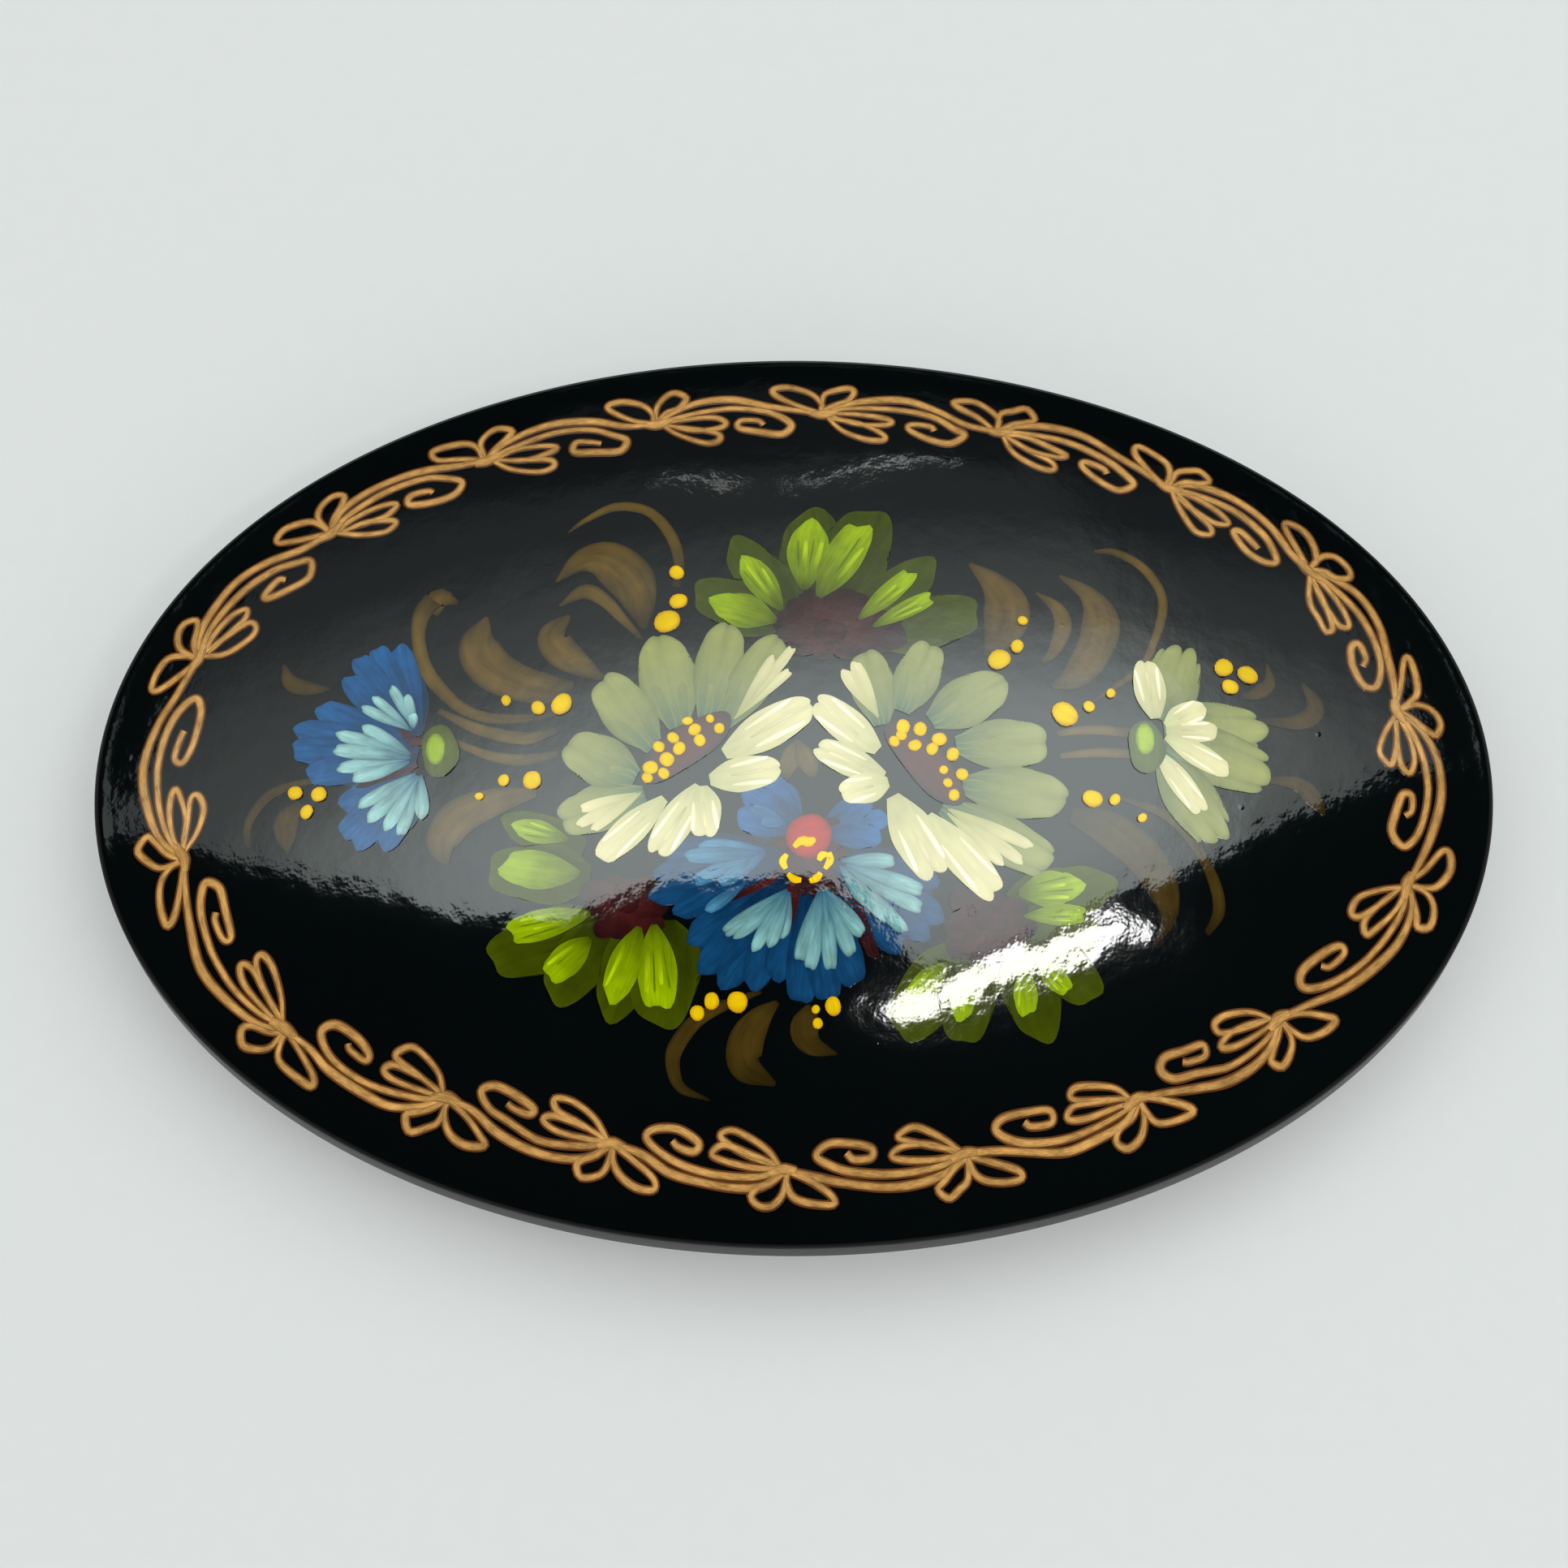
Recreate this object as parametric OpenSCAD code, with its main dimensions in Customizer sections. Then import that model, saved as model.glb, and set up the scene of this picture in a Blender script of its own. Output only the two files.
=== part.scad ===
/* [Dome] */
// Length of the oval, along X
brooch_l = 70; // [50:1:90]
// Width of the oval, along Y
brooch_w = 46; // [34:1:60]
// Height of the upright edge
edge_h = 2.5; // [2:0.1:3.5]
// Rise of the dome above its edge
dome_rise = 6.7; // [4:0.1:9]
// Thickness of the pressed papier-mache
wall = 2; // [1.5:0.1:2.4]

/* [Back board] */
// Thickness of the board let into the back
board_t = 1.2; // [1:0.1:1.5]
// Width of the dome's edge left standing around the board
lip_w = 1.6; // [1.2:0.1:2.2]
// Gap around the board
board_gap = 0.1; // [0.05:0.05:0.2]

/* [Pin bar] */
// Width of the bar
bar_w = 5; // [4.8:0.1:7]
// Thickness of the bar
bar_t = 0.7; // [0.5:0.1:1]
// End of the bar beyond the hinge
bar_start = -18.6; // [-22:0.1:-18]
// End of the bar at the catch
bar_end = 15.6; // [15.4:0.1:15.6]
// Radius of the glue holes
glue_hole_r = 0.9; // [0.6:0.1:1.2]
// Distance between the glue holes
glue_hole_pitch = 6.5; // [5:0.5:7]
// Thickness of the glue under the bar
glue_t = 0.1; // [0.1:0.05:0.2]

/* [Hinge] */
// Place of the hinge rivet along X
hinge_x = -14.5; // [-16:0.5:-13]
// Height of the hinge rivet and the pin above the table
axis_z = 1.9; // [1.9:0.1:2.4]
// Distance from the bar's face to the pin's axis
drop = 2; // [2:0.1:2.6]
// Radius of the rivet's shank
rivet_r = 0.5; // [0.4:0.05:0.6]
// Thickness of each ear
ear_t = 0.5; // [0.4:0.05:0.6]
// Gap between the ears
ear_gap = 2; // [1.8:0.1:2.2]

/* [Pin] */
// Radius of the wire
wire_r = 0.42; // [0.35:0.01:0.45]
// Place of the sharp tip along X
tip_x = 19.6; // [18.6:0.1:21]
// Length of the ground point
point_l = 7.6; // [7:0.1:8]
// Outer radius of the eye
eye_r = 1.2; // [1.1:0.05:1.3]
// Running clearance on radius, rivet in eye
eye_play = 0.05; // [0.03:0.01:0.08]

/* [Catch] */
// Place of the housing's middle along X
catch_x = 14.2; // [14.2:0.1:14.4]
// Length of the housing
catch_l = 2.8; // [2.4:0.1:2.8]
// Thickness of the housing's strip
catch_t = 0.4; // [0.3:0.05:0.45]
// Running clearance on radius, collar in housing
collar_play = 0.05; // [0.03:0.01:0.08]
// Width of the slot that lets the wire in
slot_w = 1.1; // [1:0.05:1.3]
// Reach of the thumb tab from the wire's axis
tab_reach = 2.9; // [2.6:0.1:3]
// Angle between the slot and the thumb tab
tab_angle = 55; // [50:1:60]

/* [Hidden] */

half_l = brooch_l / 2;
half_w = brooch_w / 2;
bar_face_z = axis_z + drop;              // lower face of the bar
board_z = bar_face_z + bar_t + glue_t;   // lower face of the board and of the dome's edge
edge_top_z = board_z + edge_h;           // where the dome starts to rise
bracket_l = 5.2;                         // hinge bracket along X
bracket_t = 0.4;                         // its base plate
ear_r = axis_z;                          // the ears just touch the table
heel_reach = drop - bracket_t - 0.05;    // the heel stops on the base plate
head_r = 0.9;                            // rivet head
head_t = 0.35;
eye_w = ear_gap - 0.2;
housing_r = axis_z;                      // the housing just touches the table
bore_r = housing_r - catch_t;
collar_r = bore_r - collar_play;
collar_bore_r = wire_r + 0.13;
flange_t = 0.5;
flange_gap = 0.2;                        // end play of the collar
flange_r = housing_r - 0.1;
tab_w = 0.9;
tab_root = flange_r - 0.5;               // the tab starts inside the flange
foot_w = 3.6;                            // soldered foot of the housing
foot_t = 0.5;
around = 96;                             // points around the oval
eps = 0.01;

// Height of the outer surface at the share s of the way from the middle to the edge
function dome_z(s) = edge_top_z + dome_rise * (1 - s * s);

// Points of one oval ring; a ring is [half length, half width, height]
function oval(ring, count) =
    [for (i = [0 : count - 1]) [ring[0] * cos(360 * i / count), ring[1] * sin(360 * i / count), ring[2]]];

// Closed solid through a stack of oval rings, from the lowest to the highest
module stacked_ovals(rings, count) {
    last = len(rings) - 1;
    points = [for (ring = rings) each oval(ring, count)];
    walls = [for (r = [0 : last - 1]) for (i = [0 : count - 1])
        let (a = r * count + i, b = r * count + (i + 1) % count)
        each [[a, a + count, b], [b, a + count, b + count]]];
    floor_face = [[for (i = [0 : count - 1]) i]];
    roof_face = [[for (i = [count - 1 : -1 : 0]) last * count + i]];
    polyhedron(points, concat(floor_face, walls, roof_face));
}

// Rings of the dome's outside: a softened lower arris, the edge, a softened upper arris and the crown
function outer_rings() = concat(
    [[half_l - 0.3, half_w - 0.3, board_z],
     [half_l, half_w, board_z + 0.3],
     [half_l, half_w, edge_top_z - 0.3]],
    [for (p = [[0.9985, -0.1], [0.994, 0.03]]) [half_l * p[0], half_w * p[0], edge_top_z + p[1]]],
    [for (s = [0.986, 0.95, 0.9, 0.84, 0.77, 0.69, 0.6, 0.5, 0.39, 0.28, 0.17, 0.07])
        [half_l * s, half_w * s, dome_z(s)]]);

// Rings of the hollow under the crown, one wall thickness inside it
function hollow_rings() =
    let (low = board_z + board_t, edge = low + 0.4, top = dome_z(0) - wall, inset = lip_w + 1.4)
    concat(
        [[half_l - inset, half_w - inset, low - eps]],
        [for (s = [1, 0.93, 0.84, 0.73, 0.6, 0.45, 0.28, 0.1])
            [(half_l - inset) * s, (half_w - inset) * s, edge + (top - edge) * (1 - s * s)]]);

// Flat oval plate
module oval_plate(l, w, t) {
    linear_extrude(t) polygon([for (p = oval([l, w, 0], around)) [p[0], p[1]]]);
}

// Moves its children to the wire's axis, with their +Z turned along +X
module along_pin(x) {
    translate([x, 0, axis_z]) rotate([0, 90, 0]) children();
}

// Flat bar outline with round ends
module bar_outline() {
    r = bar_w / 2;
    translate([bar_start + r, -r]) square([bar_end - bar_start - r, bar_w]);
    translate([bar_start + r, 0]) circle(r, $fn = 64);
}

module glue_holes(r, z, h) {
    for (i = [-1 : 1]) translate([i * glue_hole_pitch, 0, z]) cylinder(r = r, h = h, $fn = 48);
}

// Collar cross-section with the slot open towards -Z
module collar_ring(r) {
    difference() {
        circle(r, $fn = 64);
        circle(collar_bore_r, $fn = 48);
        translate([0, -slot_w / 2]) square([r + 1, slot_w]);
    }
}

// Pressed dome with its upright edge, hollow inside and rebated for the back board
module dome_shell() {
    color([0.03, 0.035, 0.035])
    difference() {
        stacked_ovals(outer_rings(), around);
        translate([0, 0, board_z - 1]) oval_plate(half_l - lip_w, half_w - lip_w, board_t + 1);
        stacked_ovals(hollow_rings(), 64);
    }
}

// Flat board that closes the back
module back_board() {
    color([0.05, 0.05, 0.05])
    translate([0, 0, board_z])
        oval_plate(half_l - lip_w - board_gap, half_w - lip_w - board_gap, board_t);
}

// Cured adhesive: a thin bed under the bar and a button through each hole
module glue_bed() {
    color([0.75, 0.68, 0.45]) {
        translate([0, 0, board_z - glue_t]) linear_extrude(glue_t) bar_outline();
        glue_holes(glue_hole_r, bar_face_z, bar_t + eps);
        glue_holes(glue_hole_r + 0.35, bar_face_z - 0.2, 0.2);
    }
}

// Stamped bar with three glue holes
module pin_bar() {
    color("silver")
    difference() {
        translate([0, 0, bar_face_z]) linear_extrude(bar_t) bar_outline();
        glue_holes(glue_hole_r, bar_face_z - 1, bar_t + 2);
    }
}

// Base plate and two round ears that hold the rivet
module hinge_bracket() {
    ear_y = ear_gap / 2;
    color("silver") {
        translate([hinge_x - bracket_l / 2, -ear_y - ear_t, bar_face_z - bracket_t])
            cube([bracket_l, ear_gap + 2 * ear_t, bracket_t]);
        for (side = [-1, 1])
            translate([hinge_x, side * (ear_y + ear_t / 2), axis_z]) rotate([90, 0, 0])
                difference() {
                    union() {
                        cylinder(r = ear_r, h = ear_t, center = true, $fn = 64);
                        translate([-ear_r, 0, -ear_t / 2]) cube([2 * ear_r, drop - bracket_t, ear_t]);
                    }
                    cylinder(r = rivet_r, h = ear_t + 1, center = true, $fn = 48);
                }
    }
}

// Shank and two domed heads
module hinge_rivet() {
    reach = ear_gap / 2 + ear_t;
    color("gainsboro")
    translate([hinge_x, 0, axis_z]) rotate([90, 0, 0]) {
        cylinder(r = rivet_r, h = 2 * reach, center = true, $fn = 48);
        for (side = [0, 180])
            rotate([side, 0, 0]) translate([0, 0, reach]) rotate_extrude($fn = 48)
                polygon([[0, 0], [head_r, 0], [head_r, 0.12], [head_r * 0.8, head_t * 0.8],
                         [head_r * 0.4, head_t], [0, head_t]]);
    }
}

// Wire with its eye around the rivet, its stop heel and its ground point
module pin_stem() {
    color("lightsteelblue")
    difference() {
        union() {
            translate([hinge_x, 0, axis_z]) rotate([90, 0, 0])
                cylinder(r = eye_r, h = eye_w, center = true, $fn = 64);
            translate([hinge_x - heel_reach, -eye_w / 2, axis_z - 0.35]) cube([heel_reach, eye_w, 0.7]);
            along_pin(hinge_x) cylinder(r = wire_r, h = tip_x - point_l - hinge_x, $fn = 48);
            along_pin(tip_x - point_l) cylinder(r1 = wire_r, r2 = 0.05, h = point_l, $fn = 48);
        }
        translate([hinge_x, 0, axis_z]) rotate([90, 0, 0])
            cylinder(r = rivet_r + eye_play, h = eye_w + 1, center = true, $fn = 64);
    }
}

// C-shaped strip around the collar, open towards -Z, on its soldered foot
module catch_housing() {
    color("silver")
    difference() {
        union() {
            along_pin(catch_x - catch_l / 2) cylinder(r = housing_r, h = catch_l, $fn = 64);
            translate([catch_x - catch_l / 2, -foot_w / 2, bar_face_z - foot_t])
                cube([catch_l, foot_w, foot_t]);
        }
        along_pin(catch_x - catch_l / 2 - 1) cylinder(r = bore_r, h = catch_l + 2, $fn = 64);
        translate([catch_x - catch_l / 2 - 1, -slot_w / 2 - 0.1, -1])
            cube([catch_l + 2, slot_w + 0.2, axis_z + 1]);
    }
}

// Turning collar with a flange at each end and a thumb tab on the outer one
module catch_rotor() {
    inner_x = catch_x - catch_l / 2 - flange_gap - flange_t;
    outer_x = catch_x + catch_l / 2 + flange_gap;
    body_l = outer_x - inner_x - flange_t;
    color("gainsboro") {
        along_pin(inner_x) linear_extrude(flange_t) collar_ring(flange_r);
        along_pin(inner_x + flange_t) linear_extrude(body_l) collar_ring(collar_r);
        along_pin(outer_x) linear_extrude(flange_t) {
            collar_ring(flange_r);
            rotate(tab_angle) translate([tab_root, -tab_w / 2])
                square([tab_reach - tab_w / 2 - tab_root, tab_w]);
            rotate(tab_angle) translate([tab_reach - tab_w / 2, 0]) circle(tab_w / 2, $fn = 32);
        }
    }
}

dome_shell();
back_board();
glue_bed();
pin_bar();
hinge_bracket();
hinge_rivet();
pin_stem();
catch_housing();
catch_rotor();
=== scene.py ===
import math

import bpy
import numpy as np
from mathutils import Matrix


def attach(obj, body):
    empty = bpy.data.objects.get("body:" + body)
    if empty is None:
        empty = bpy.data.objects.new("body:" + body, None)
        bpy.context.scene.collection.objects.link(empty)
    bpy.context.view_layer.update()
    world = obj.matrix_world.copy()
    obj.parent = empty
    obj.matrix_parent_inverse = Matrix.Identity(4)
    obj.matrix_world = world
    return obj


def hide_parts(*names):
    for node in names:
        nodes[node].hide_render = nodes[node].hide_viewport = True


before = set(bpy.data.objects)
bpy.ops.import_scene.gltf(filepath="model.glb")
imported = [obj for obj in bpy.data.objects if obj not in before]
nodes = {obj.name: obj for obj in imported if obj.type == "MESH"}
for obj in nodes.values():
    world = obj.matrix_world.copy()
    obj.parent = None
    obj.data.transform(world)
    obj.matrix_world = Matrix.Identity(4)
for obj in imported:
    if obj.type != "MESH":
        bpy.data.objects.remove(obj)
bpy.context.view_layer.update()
mm = 0.001
print("frame loaded:", len(nodes), "nodes")

dome = {
    "halfLength": 35.0,     # mm, middle to the left or right end
    "halfWidth": 23.0,      # mm, middle to the top or bottom
    "boardZ": 4.7,          # height of the underside of the edge
    "edgeTop": 7.2,         # where the crown starts to rise
    "rise": 6.7,            # crown height over the edge
    "wall": 2.0,
    "lip": 1.6,             # edge left standing around the board
    "rebate": 1.2,          # depth of the board's seat
    "hollowInset": 3.0,     # from the outline to the foot of the hollow
    "hollowFoot": 0.4,      # upright part of the hollow over the seat
    "easing": 0.1,          # small steps beside the corners, which keep them crisp
    "arris": 0.3,           # radius of the rounded lower corner
    "crownShare": 0.984,    # the crown takes over from the arris here
    "around": 288,
    "crownRings": 76,
}


def crownHeight(x, y):
    # edge top plus the rise times one minus the squared shares of the half length and half width
    share = (x / dome["halfLength"]) ** 2 + (y / dome["halfWidth"]) ** 2
    return dome["edgeTop"] + dome["rise"] * (1 - share)


def crownNormal(x, y):
    # the height's two slopes, turned round, with one upwards, made unit length
    slopeX = 2 * dome["rise"] * x / dome["halfLength"] ** 2
    slopeY = 2 * dome["rise"] * y / dome["halfWidth"] ** 2
    normal = np.stack([slopeX, slopeY, np.ones_like(slopeX)], -1)
    return normal / np.linalg.norm(normal, axis=-1, keepdims=True)


def finishMesh(name, points, faces, material, body):
    mesh = bpy.data.meshes.new(name)
    mesh.from_pydata(points.tolist(), [], faces)
    mesh.polygons.foreach_set("use_smooth", np.ones(len(mesh.polygons), bool))
    mesh.materials.append(material)
    piece = bpy.data.objects.new(name, mesh)
    bpy.context.scene.collection.objects.link(piece)
    if body:
        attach(piece, body)
    return piece


def gridFaces(rows, columns, start=0):
    # four-sided faces between neighbouring rows and columns of a grid whose first point is start
    i, j = np.meshgrid(np.arange(rows - 1), np.arange(columns - 1), indexing="ij")
    a = start + i * columns + j
    return np.stack([a, a + columns, a + columns + 1, a + 1], -1).reshape(-1, 4).tolist()


def domeStations():
    # rows of [share, inset, height] from the inner top, down the hollow, over the lip and up to the crown
    base, lip, easing = dome["boardZ"], dome["lip"], dome["easing"]
    seat = base + dome["rebate"]
    foot, inset = dome["hollowFoot"], dome["hollowInset"]
    hollowTop = dome["edgeTop"] + dome["rise"] - dome["wall"]
    share = np.linspace(0.0, 1, 22)[1:]
    hollow = np.stack([share, inset * share, seat + foot + (hollowTop - seat - foot) * (1 - share ** 2)], 1)
    corners = [
        (inset, seat + foot / 2), (inset, seat), (inset - easing, seat), (lip + easing, seat), (lip, seat),
        (lip, seat - easing), (lip, base + easing), (lip, base), (lip - easing, base)]
    ledge = [[1, reach, height] for reach, height in corners]
    arris = dome["arris"]
    turn = np.linspace(0, math.pi / 2, 7)
    lower = np.stack([np.ones(7), arris * (1 - np.sin(turn)), base + arris * (1 - np.cos(turn))], 1)
    # a curve with one control point rounds the edge into the crown
    t = np.linspace(0, 1, 10)[:, None]
    top = dome["crownShare"]
    start = np.array([1, 0, dome["edgeTop"] - arris])
    control = np.array([1, 0, dome["edgeTop"] + 0.06])
    end = np.array([top, 0, dome["edgeTop"] + dome["rise"] * (1 - top ** 2)])
    upper = (1 - t) ** 2 * start + 2 * t * (1 - t) * control + t ** 2 * end
    share = np.linspace(top, 0, dome["crownRings"])[1:-1]
    crown = np.stack([share, 0 * share, dome["edgeTop"] + dome["rise"] * (1 - share ** 2)], 1)
    return np.concatenate([hollow, ledge, lower, upper, crown]), hollowTop


def makeDome(material, edgeMaterial):
    # each station is carried round the oval: half length and half width times the share, less the inset
    stations, hollowTop = domeStations()
    count = dome["around"]
    angle = np.linspace(0, 2 * math.pi, count, endpoint=False)
    x = (dome["halfLength"] * stations[:, :1] - stations[:, 1:2]) * np.cos(angle)
    y = (dome["halfWidth"] * stations[:, :1] - stations[:, 1:2]) * np.sin(angle)
    z = np.repeat(stations[:, 2:], count, 1)
    rings = np.stack([x, y, z], -1).reshape(-1, 3)
    poles = [[0, 0, hollowTop], [0, 0, dome["edgeTop"] + dome["rise"]]]
    points = np.concatenate([rings, poles]) * mm
    last = len(stations) - 1
    i, j = np.meshgrid(np.arange(last), np.arange(count), indexing="ij")
    a, b = i * count + j, i * count + (j + 1) % count
    faces = np.stack([a, b, b + count, a + count], -1).reshape(-1, 4).tolist()
    step = np.arange(count)
    ahead = (step + 1) % count
    inner, outer = len(rings), len(rings) + 1
    faces += np.stack([ahead, step, np.full(count, inner)], 1).tolist()
    faces += np.stack([last * count + step, last * count + ahead, np.full(count, outer)], 1).tolist()
    piece = finishMesh("DomeShell", points, faces, material, "brooch")
    piece.data.materials.append(edgeMaterial)      # the sanded, duller edge, and everything under it
    crownStart = last - (dome["crownRings"] - 2) - 3
    duller = np.zeros(len(faces), np.int32)
    duller[:crownStart * count] = 1
    duller[last * count:last * count + count] = 1
    piece.data.polygons.foreach_set("material_index", duller)
    return piece


def linear(red, green, blue):
    # a display colour of 0 to 255 as the light that it stands for
    shade = np.array([red, green, blue]) / 255
    return np.where(shade <= 0.04045, shade / 12.92, ((shade + 0.055) / 1.055) ** 2.4)


def addNode(tree, kind, values=None, **settings):
    node = tree.nodes.new(kind)
    for name, value in settings.items():
        setattr(node, name, value)
    for name, value in (values or {}).items():
        if isinstance(value, bpy.types.NodeSocket):
            tree.links.new(value, node.inputs[name])
        else:
            node.inputs[name].default_value = value
    return node


def newMaterial(name, values):
    material = bpy.data.materials.new(name)
    material.use_nodes = True
    tree = material.node_tree
    tree.nodes.clear()
    shader = addNode(tree, "ShaderNodeBsdfPrincipled", values)
    addNode(tree, "ShaderNodeOutputMaterial", {"Surface": shader.outputs[0]})
    return material, tree, shader


def newGroup(name, inputs, outputs):
    tree = bpy.data.node_groups.new(name, "ShaderNodeTree")
    for label, kind, value in inputs:
        socket = tree.interface.new_socket(label, in_out="INPUT", socket_type="NodeSocket" + kind)
        if value is not None:
            socket.default_value = value
    for label, kind in outputs:
        tree.interface.new_socket(label, in_out="OUTPUT", socket_type="NodeSocket" + kind)
    start = tree.nodes.new("NodeGroupInput")
    end = tree.nodes.new("NodeGroupOutput")
    return tree, start, end


def useGroup(tree, group, values):
    return addNode(tree, "ShaderNodeGroup", values, node_tree=group)


def mathNode(tree, operation, first, second):
    node = addNode(tree, "ShaderNodeMath", operation=operation)
    for socket, value in zip(node.inputs, (first, second)):
        if isinstance(value, bpy.types.NodeSocket):
            tree.links.new(value, socket)
        else:
            socket.default_value = value
    return node.outputs[0]


def noise(tree, place, scale, detail, roughness=0.5):
    return addNode(tree, "ShaderNodeTexNoise", {
        "Vector": place, "Scale": scale, "Detail": detail, "Roughness": roughness}).outputs["Fac"]


def stretched(tree, place, scale, turn=(0, 0, 0)):
    return addNode(tree, "ShaderNodeMapping", {"Vector": place, "Rotation": turn, "Scale": scale}).outputs[0]


def easeBetween(tree, value, low, high, first=0.0, last=1.0, kind="LINEAR"):
    # goes from first to last while the value goes from low to high
    return addNode(tree, "ShaderNodeMapRange", {
        "Value": value, "From Min": low, "From Max": high, "To Min": first, "To Max": last},
        interpolation_type=kind).outputs[0]


def blend(tree, factor, first, second):
    # a mix of two colours
    node = addNode(tree, "ShaderNodeMix", {"Factor": factor}, data_type="RGBA")
    node.inputs[6].default_value = (*first, 1)
    node.inputs[7].default_value = (*second, 1)
    return node.outputs[2]


def bump(tree, strength, distance, height):
    return addNode(tree, "ShaderNodeBump", {
        "Strength": strength, "Distance": distance, "Height": height}).outputs["Normal"]


def join(tree, target, sockets):
    for name, socket in sockets.items():
        tree.links.new(socket, target.inputs[name])


lacquer = {                 # the clear coat over everything on the dome
    "peelScale": 850.0,     # ripples per metre
    "waveScale": 250.0,
    "waveShare": 4.2,       # wave height beside the peel's
    "nibScale": 420.0,
    "nibShare": 1.6,
    "depth": 0.000011,      # metres
}


def makeLacquerCoat():
    # long waves, fine orange peel and a few dust nibs, added up as one height, and a faint haze
    tree, start, end = newGroup(
        "lacquerCoat",
        [("Vector", "Vector", None), ("Peel", "Float", 1.0), ("Wave", "Float", 1.0),
         ("Sheen", "Float", 0.05)],
        [("Normal", "Vector"), ("Roughness", "Float")])
    place = start.outputs["Vector"]
    peel = noise(tree, place, lacquer["peelScale"], 3.0, 0.62)
    wave = noise(tree, place, lacquer["waveScale"], 2.5)
    cells = addNode(tree, "ShaderNodeTexVoronoi", {
        "Vector": place, "Scale": lacquer["nibScale"], "Randomness": 1.0})
    nib = easeBetween(tree, cells.outputs["Distance"], 0.02, 0.09, 1.0, 0.0, "SMOOTHSTEP")
    chosen = easeBetween(tree, noise(tree, place, 260.0, 0.0), 0.62, 0.7)
    nibHeight = mathNode(tree, "MULTIPLY", nib, chosen)
    fine = mathNode(tree, "MULTIPLY", peel, start.outputs["Peel"])
    slow = mathNode(tree, "MULTIPLY", wave, start.outputs["Wave"])
    height = mathNode(tree, "ADD", fine, mathNode(tree, "MULTIPLY", slow, lacquer["waveShare"]))
    height = mathNode(tree, "ADD", height, mathNode(tree, "MULTIPLY", nibHeight, lacquer["nibShare"]))
    rough = mathNode(tree, "MULTIPLY", noise(tree, place, 90.0, 4.0), 0.03)
    rough = mathNode(tree, "ADD", rough, start.outputs["Sheen"])
    join(tree, end, {"Normal": bump(tree, 1.0, lacquer["depth"], height), "Roughness": rough})
    return tree


def makeBristles():
    # streaks that the hairs of a brush leave along a stroke, from the stroke's own map in millimetres
    tree, start, end = newGroup(
        "bristles",
        [("Vector", "Vector", None), ("Fineness", "Float", 5.0), ("Depth", "Float", 0.25)],
        [("Shade", "Float")])
    place = start.outputs["Vector"]
    hairs = noise(tree, stretched(tree, place, (1.0, 0.12, 1.0)), start.outputs["Fineness"], 2.5, 0.6)
    pools = noise(tree, place, 0.9, 1.0)
    both = mathNode(tree, "ADD", hairs, mathNode(tree, "MULTIPLY", pools, 0.6))
    scaled = mathNode(tree, "MULTIPLY", mathNode(tree, "SUBTRACT", both, 0.8), start.outputs["Depth"])
    join(tree, end, {"Shade": mathNode(tree, "ADD", mathNode(tree, "MULTIPLY", scaled, 3.0), 1.0)})
    return tree


def makeHandling():
    # plated metal after use: hairline scratches both ways, tarnish clouds and a scratch bump
    tree, start, end = newGroup(
        "handling",
        [("Vector", "Vector", None), ("Tarnish", "Float", 0.4), ("Scratches", "Float", 0.5),
         ("Sheen", "Float", 0.2)],
        [("Shade", "Float"), ("Roughness", "Float"), ("Normal", "Vector")])
    place = start.outputs["Vector"]
    clouds = noise(tree, place, 420.0, 5.0, 0.6)
    lines = noise(tree, stretched(tree, place, (120.0, 9000.0, 5000.0)), 1.0, 2.0)
    marks = noise(tree, stretched(tree, place, (9000.0, 160.0, 3000.0), (0.3, 0.2, 0.7)), 1.0, 1.0)
    rare = easeBetween(tree, marks, 0.62, 0.72)
    scratch = mathNode(tree, "ADD", mathNode(tree, "MULTIPLY", lines, 0.6), rare)
    scratch = mathNode(tree, "MULTIPLY", scratch, start.outputs["Scratches"])
    dirt = mathNode(tree, "MULTIPLY", easeBetween(tree, clouds, 0.45, 0.75), start.outputs["Tarnish"])
    shade = mathNode(tree, "SUBTRACT", 1.0, mathNode(tree, "MULTIPLY", dirt, 0.6))
    rough = mathNode(tree, "ADD", start.outputs["Sheen"], mathNode(tree, "MULTIPLY", dirt, 0.35))
    rough = mathNode(tree, "ADD", rough, mathNode(tree, "MULTIPLY", scratch, 0.08))
    join(tree, end, {"Shade": shade, "Roughness": rough, "Normal": bump(tree, 0.5, 0.000004, scratch)})
    return tree


lacquerCoat = makeLacquerCoat()
bristles = makeBristles()
handling = makeHandling()


def objectPlace(tree):
    return tree.nodes.new("ShaderNodeTexCoord").outputs["Object"]


domeLook = {
    "deep": (0.0004, 0.0009, 0.0010), "thin": (0.0010, 0.0017, 0.0018),
    "ior": 1.5, "peel": 1.0, "wave": 1.0, "sheen": 0.045,
}
edgeLook = {
    "deep": (0.0020, 0.0019, 0.0018), "thin": (0.0060, 0.0055, 0.0050),
    "ior": 1.19, "peel": 2.0, "wave": 1.0, "sheen": 0.34,
}


def coated(tree, shader, colour, look):
    # the colour under a clear coat with the look's peel, wave and sheen
    coat = useGroup(tree, lacquerCoat, {
        "Vector": objectPlace(tree), "Peel": look["peel"], "Wave": look["wave"], "Sheen": look["sheen"]})
    join(tree, shader, {
        "Base Color": colour, "Roughness": coat.outputs["Roughness"], "Normal": coat.outputs["Normal"]})


def blackLacquer(name, look):
    # black that varies slightly between a deep and a thin tone
    material, tree, shader = newMaterial(name, {"IOR": look["ior"]})
    tone = blend(tree, noise(tree, objectPlace(tree), 60.0, 4.0), look["deep"], look["thin"])
    coated(tree, shader, tone, look)
    return material


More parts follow.
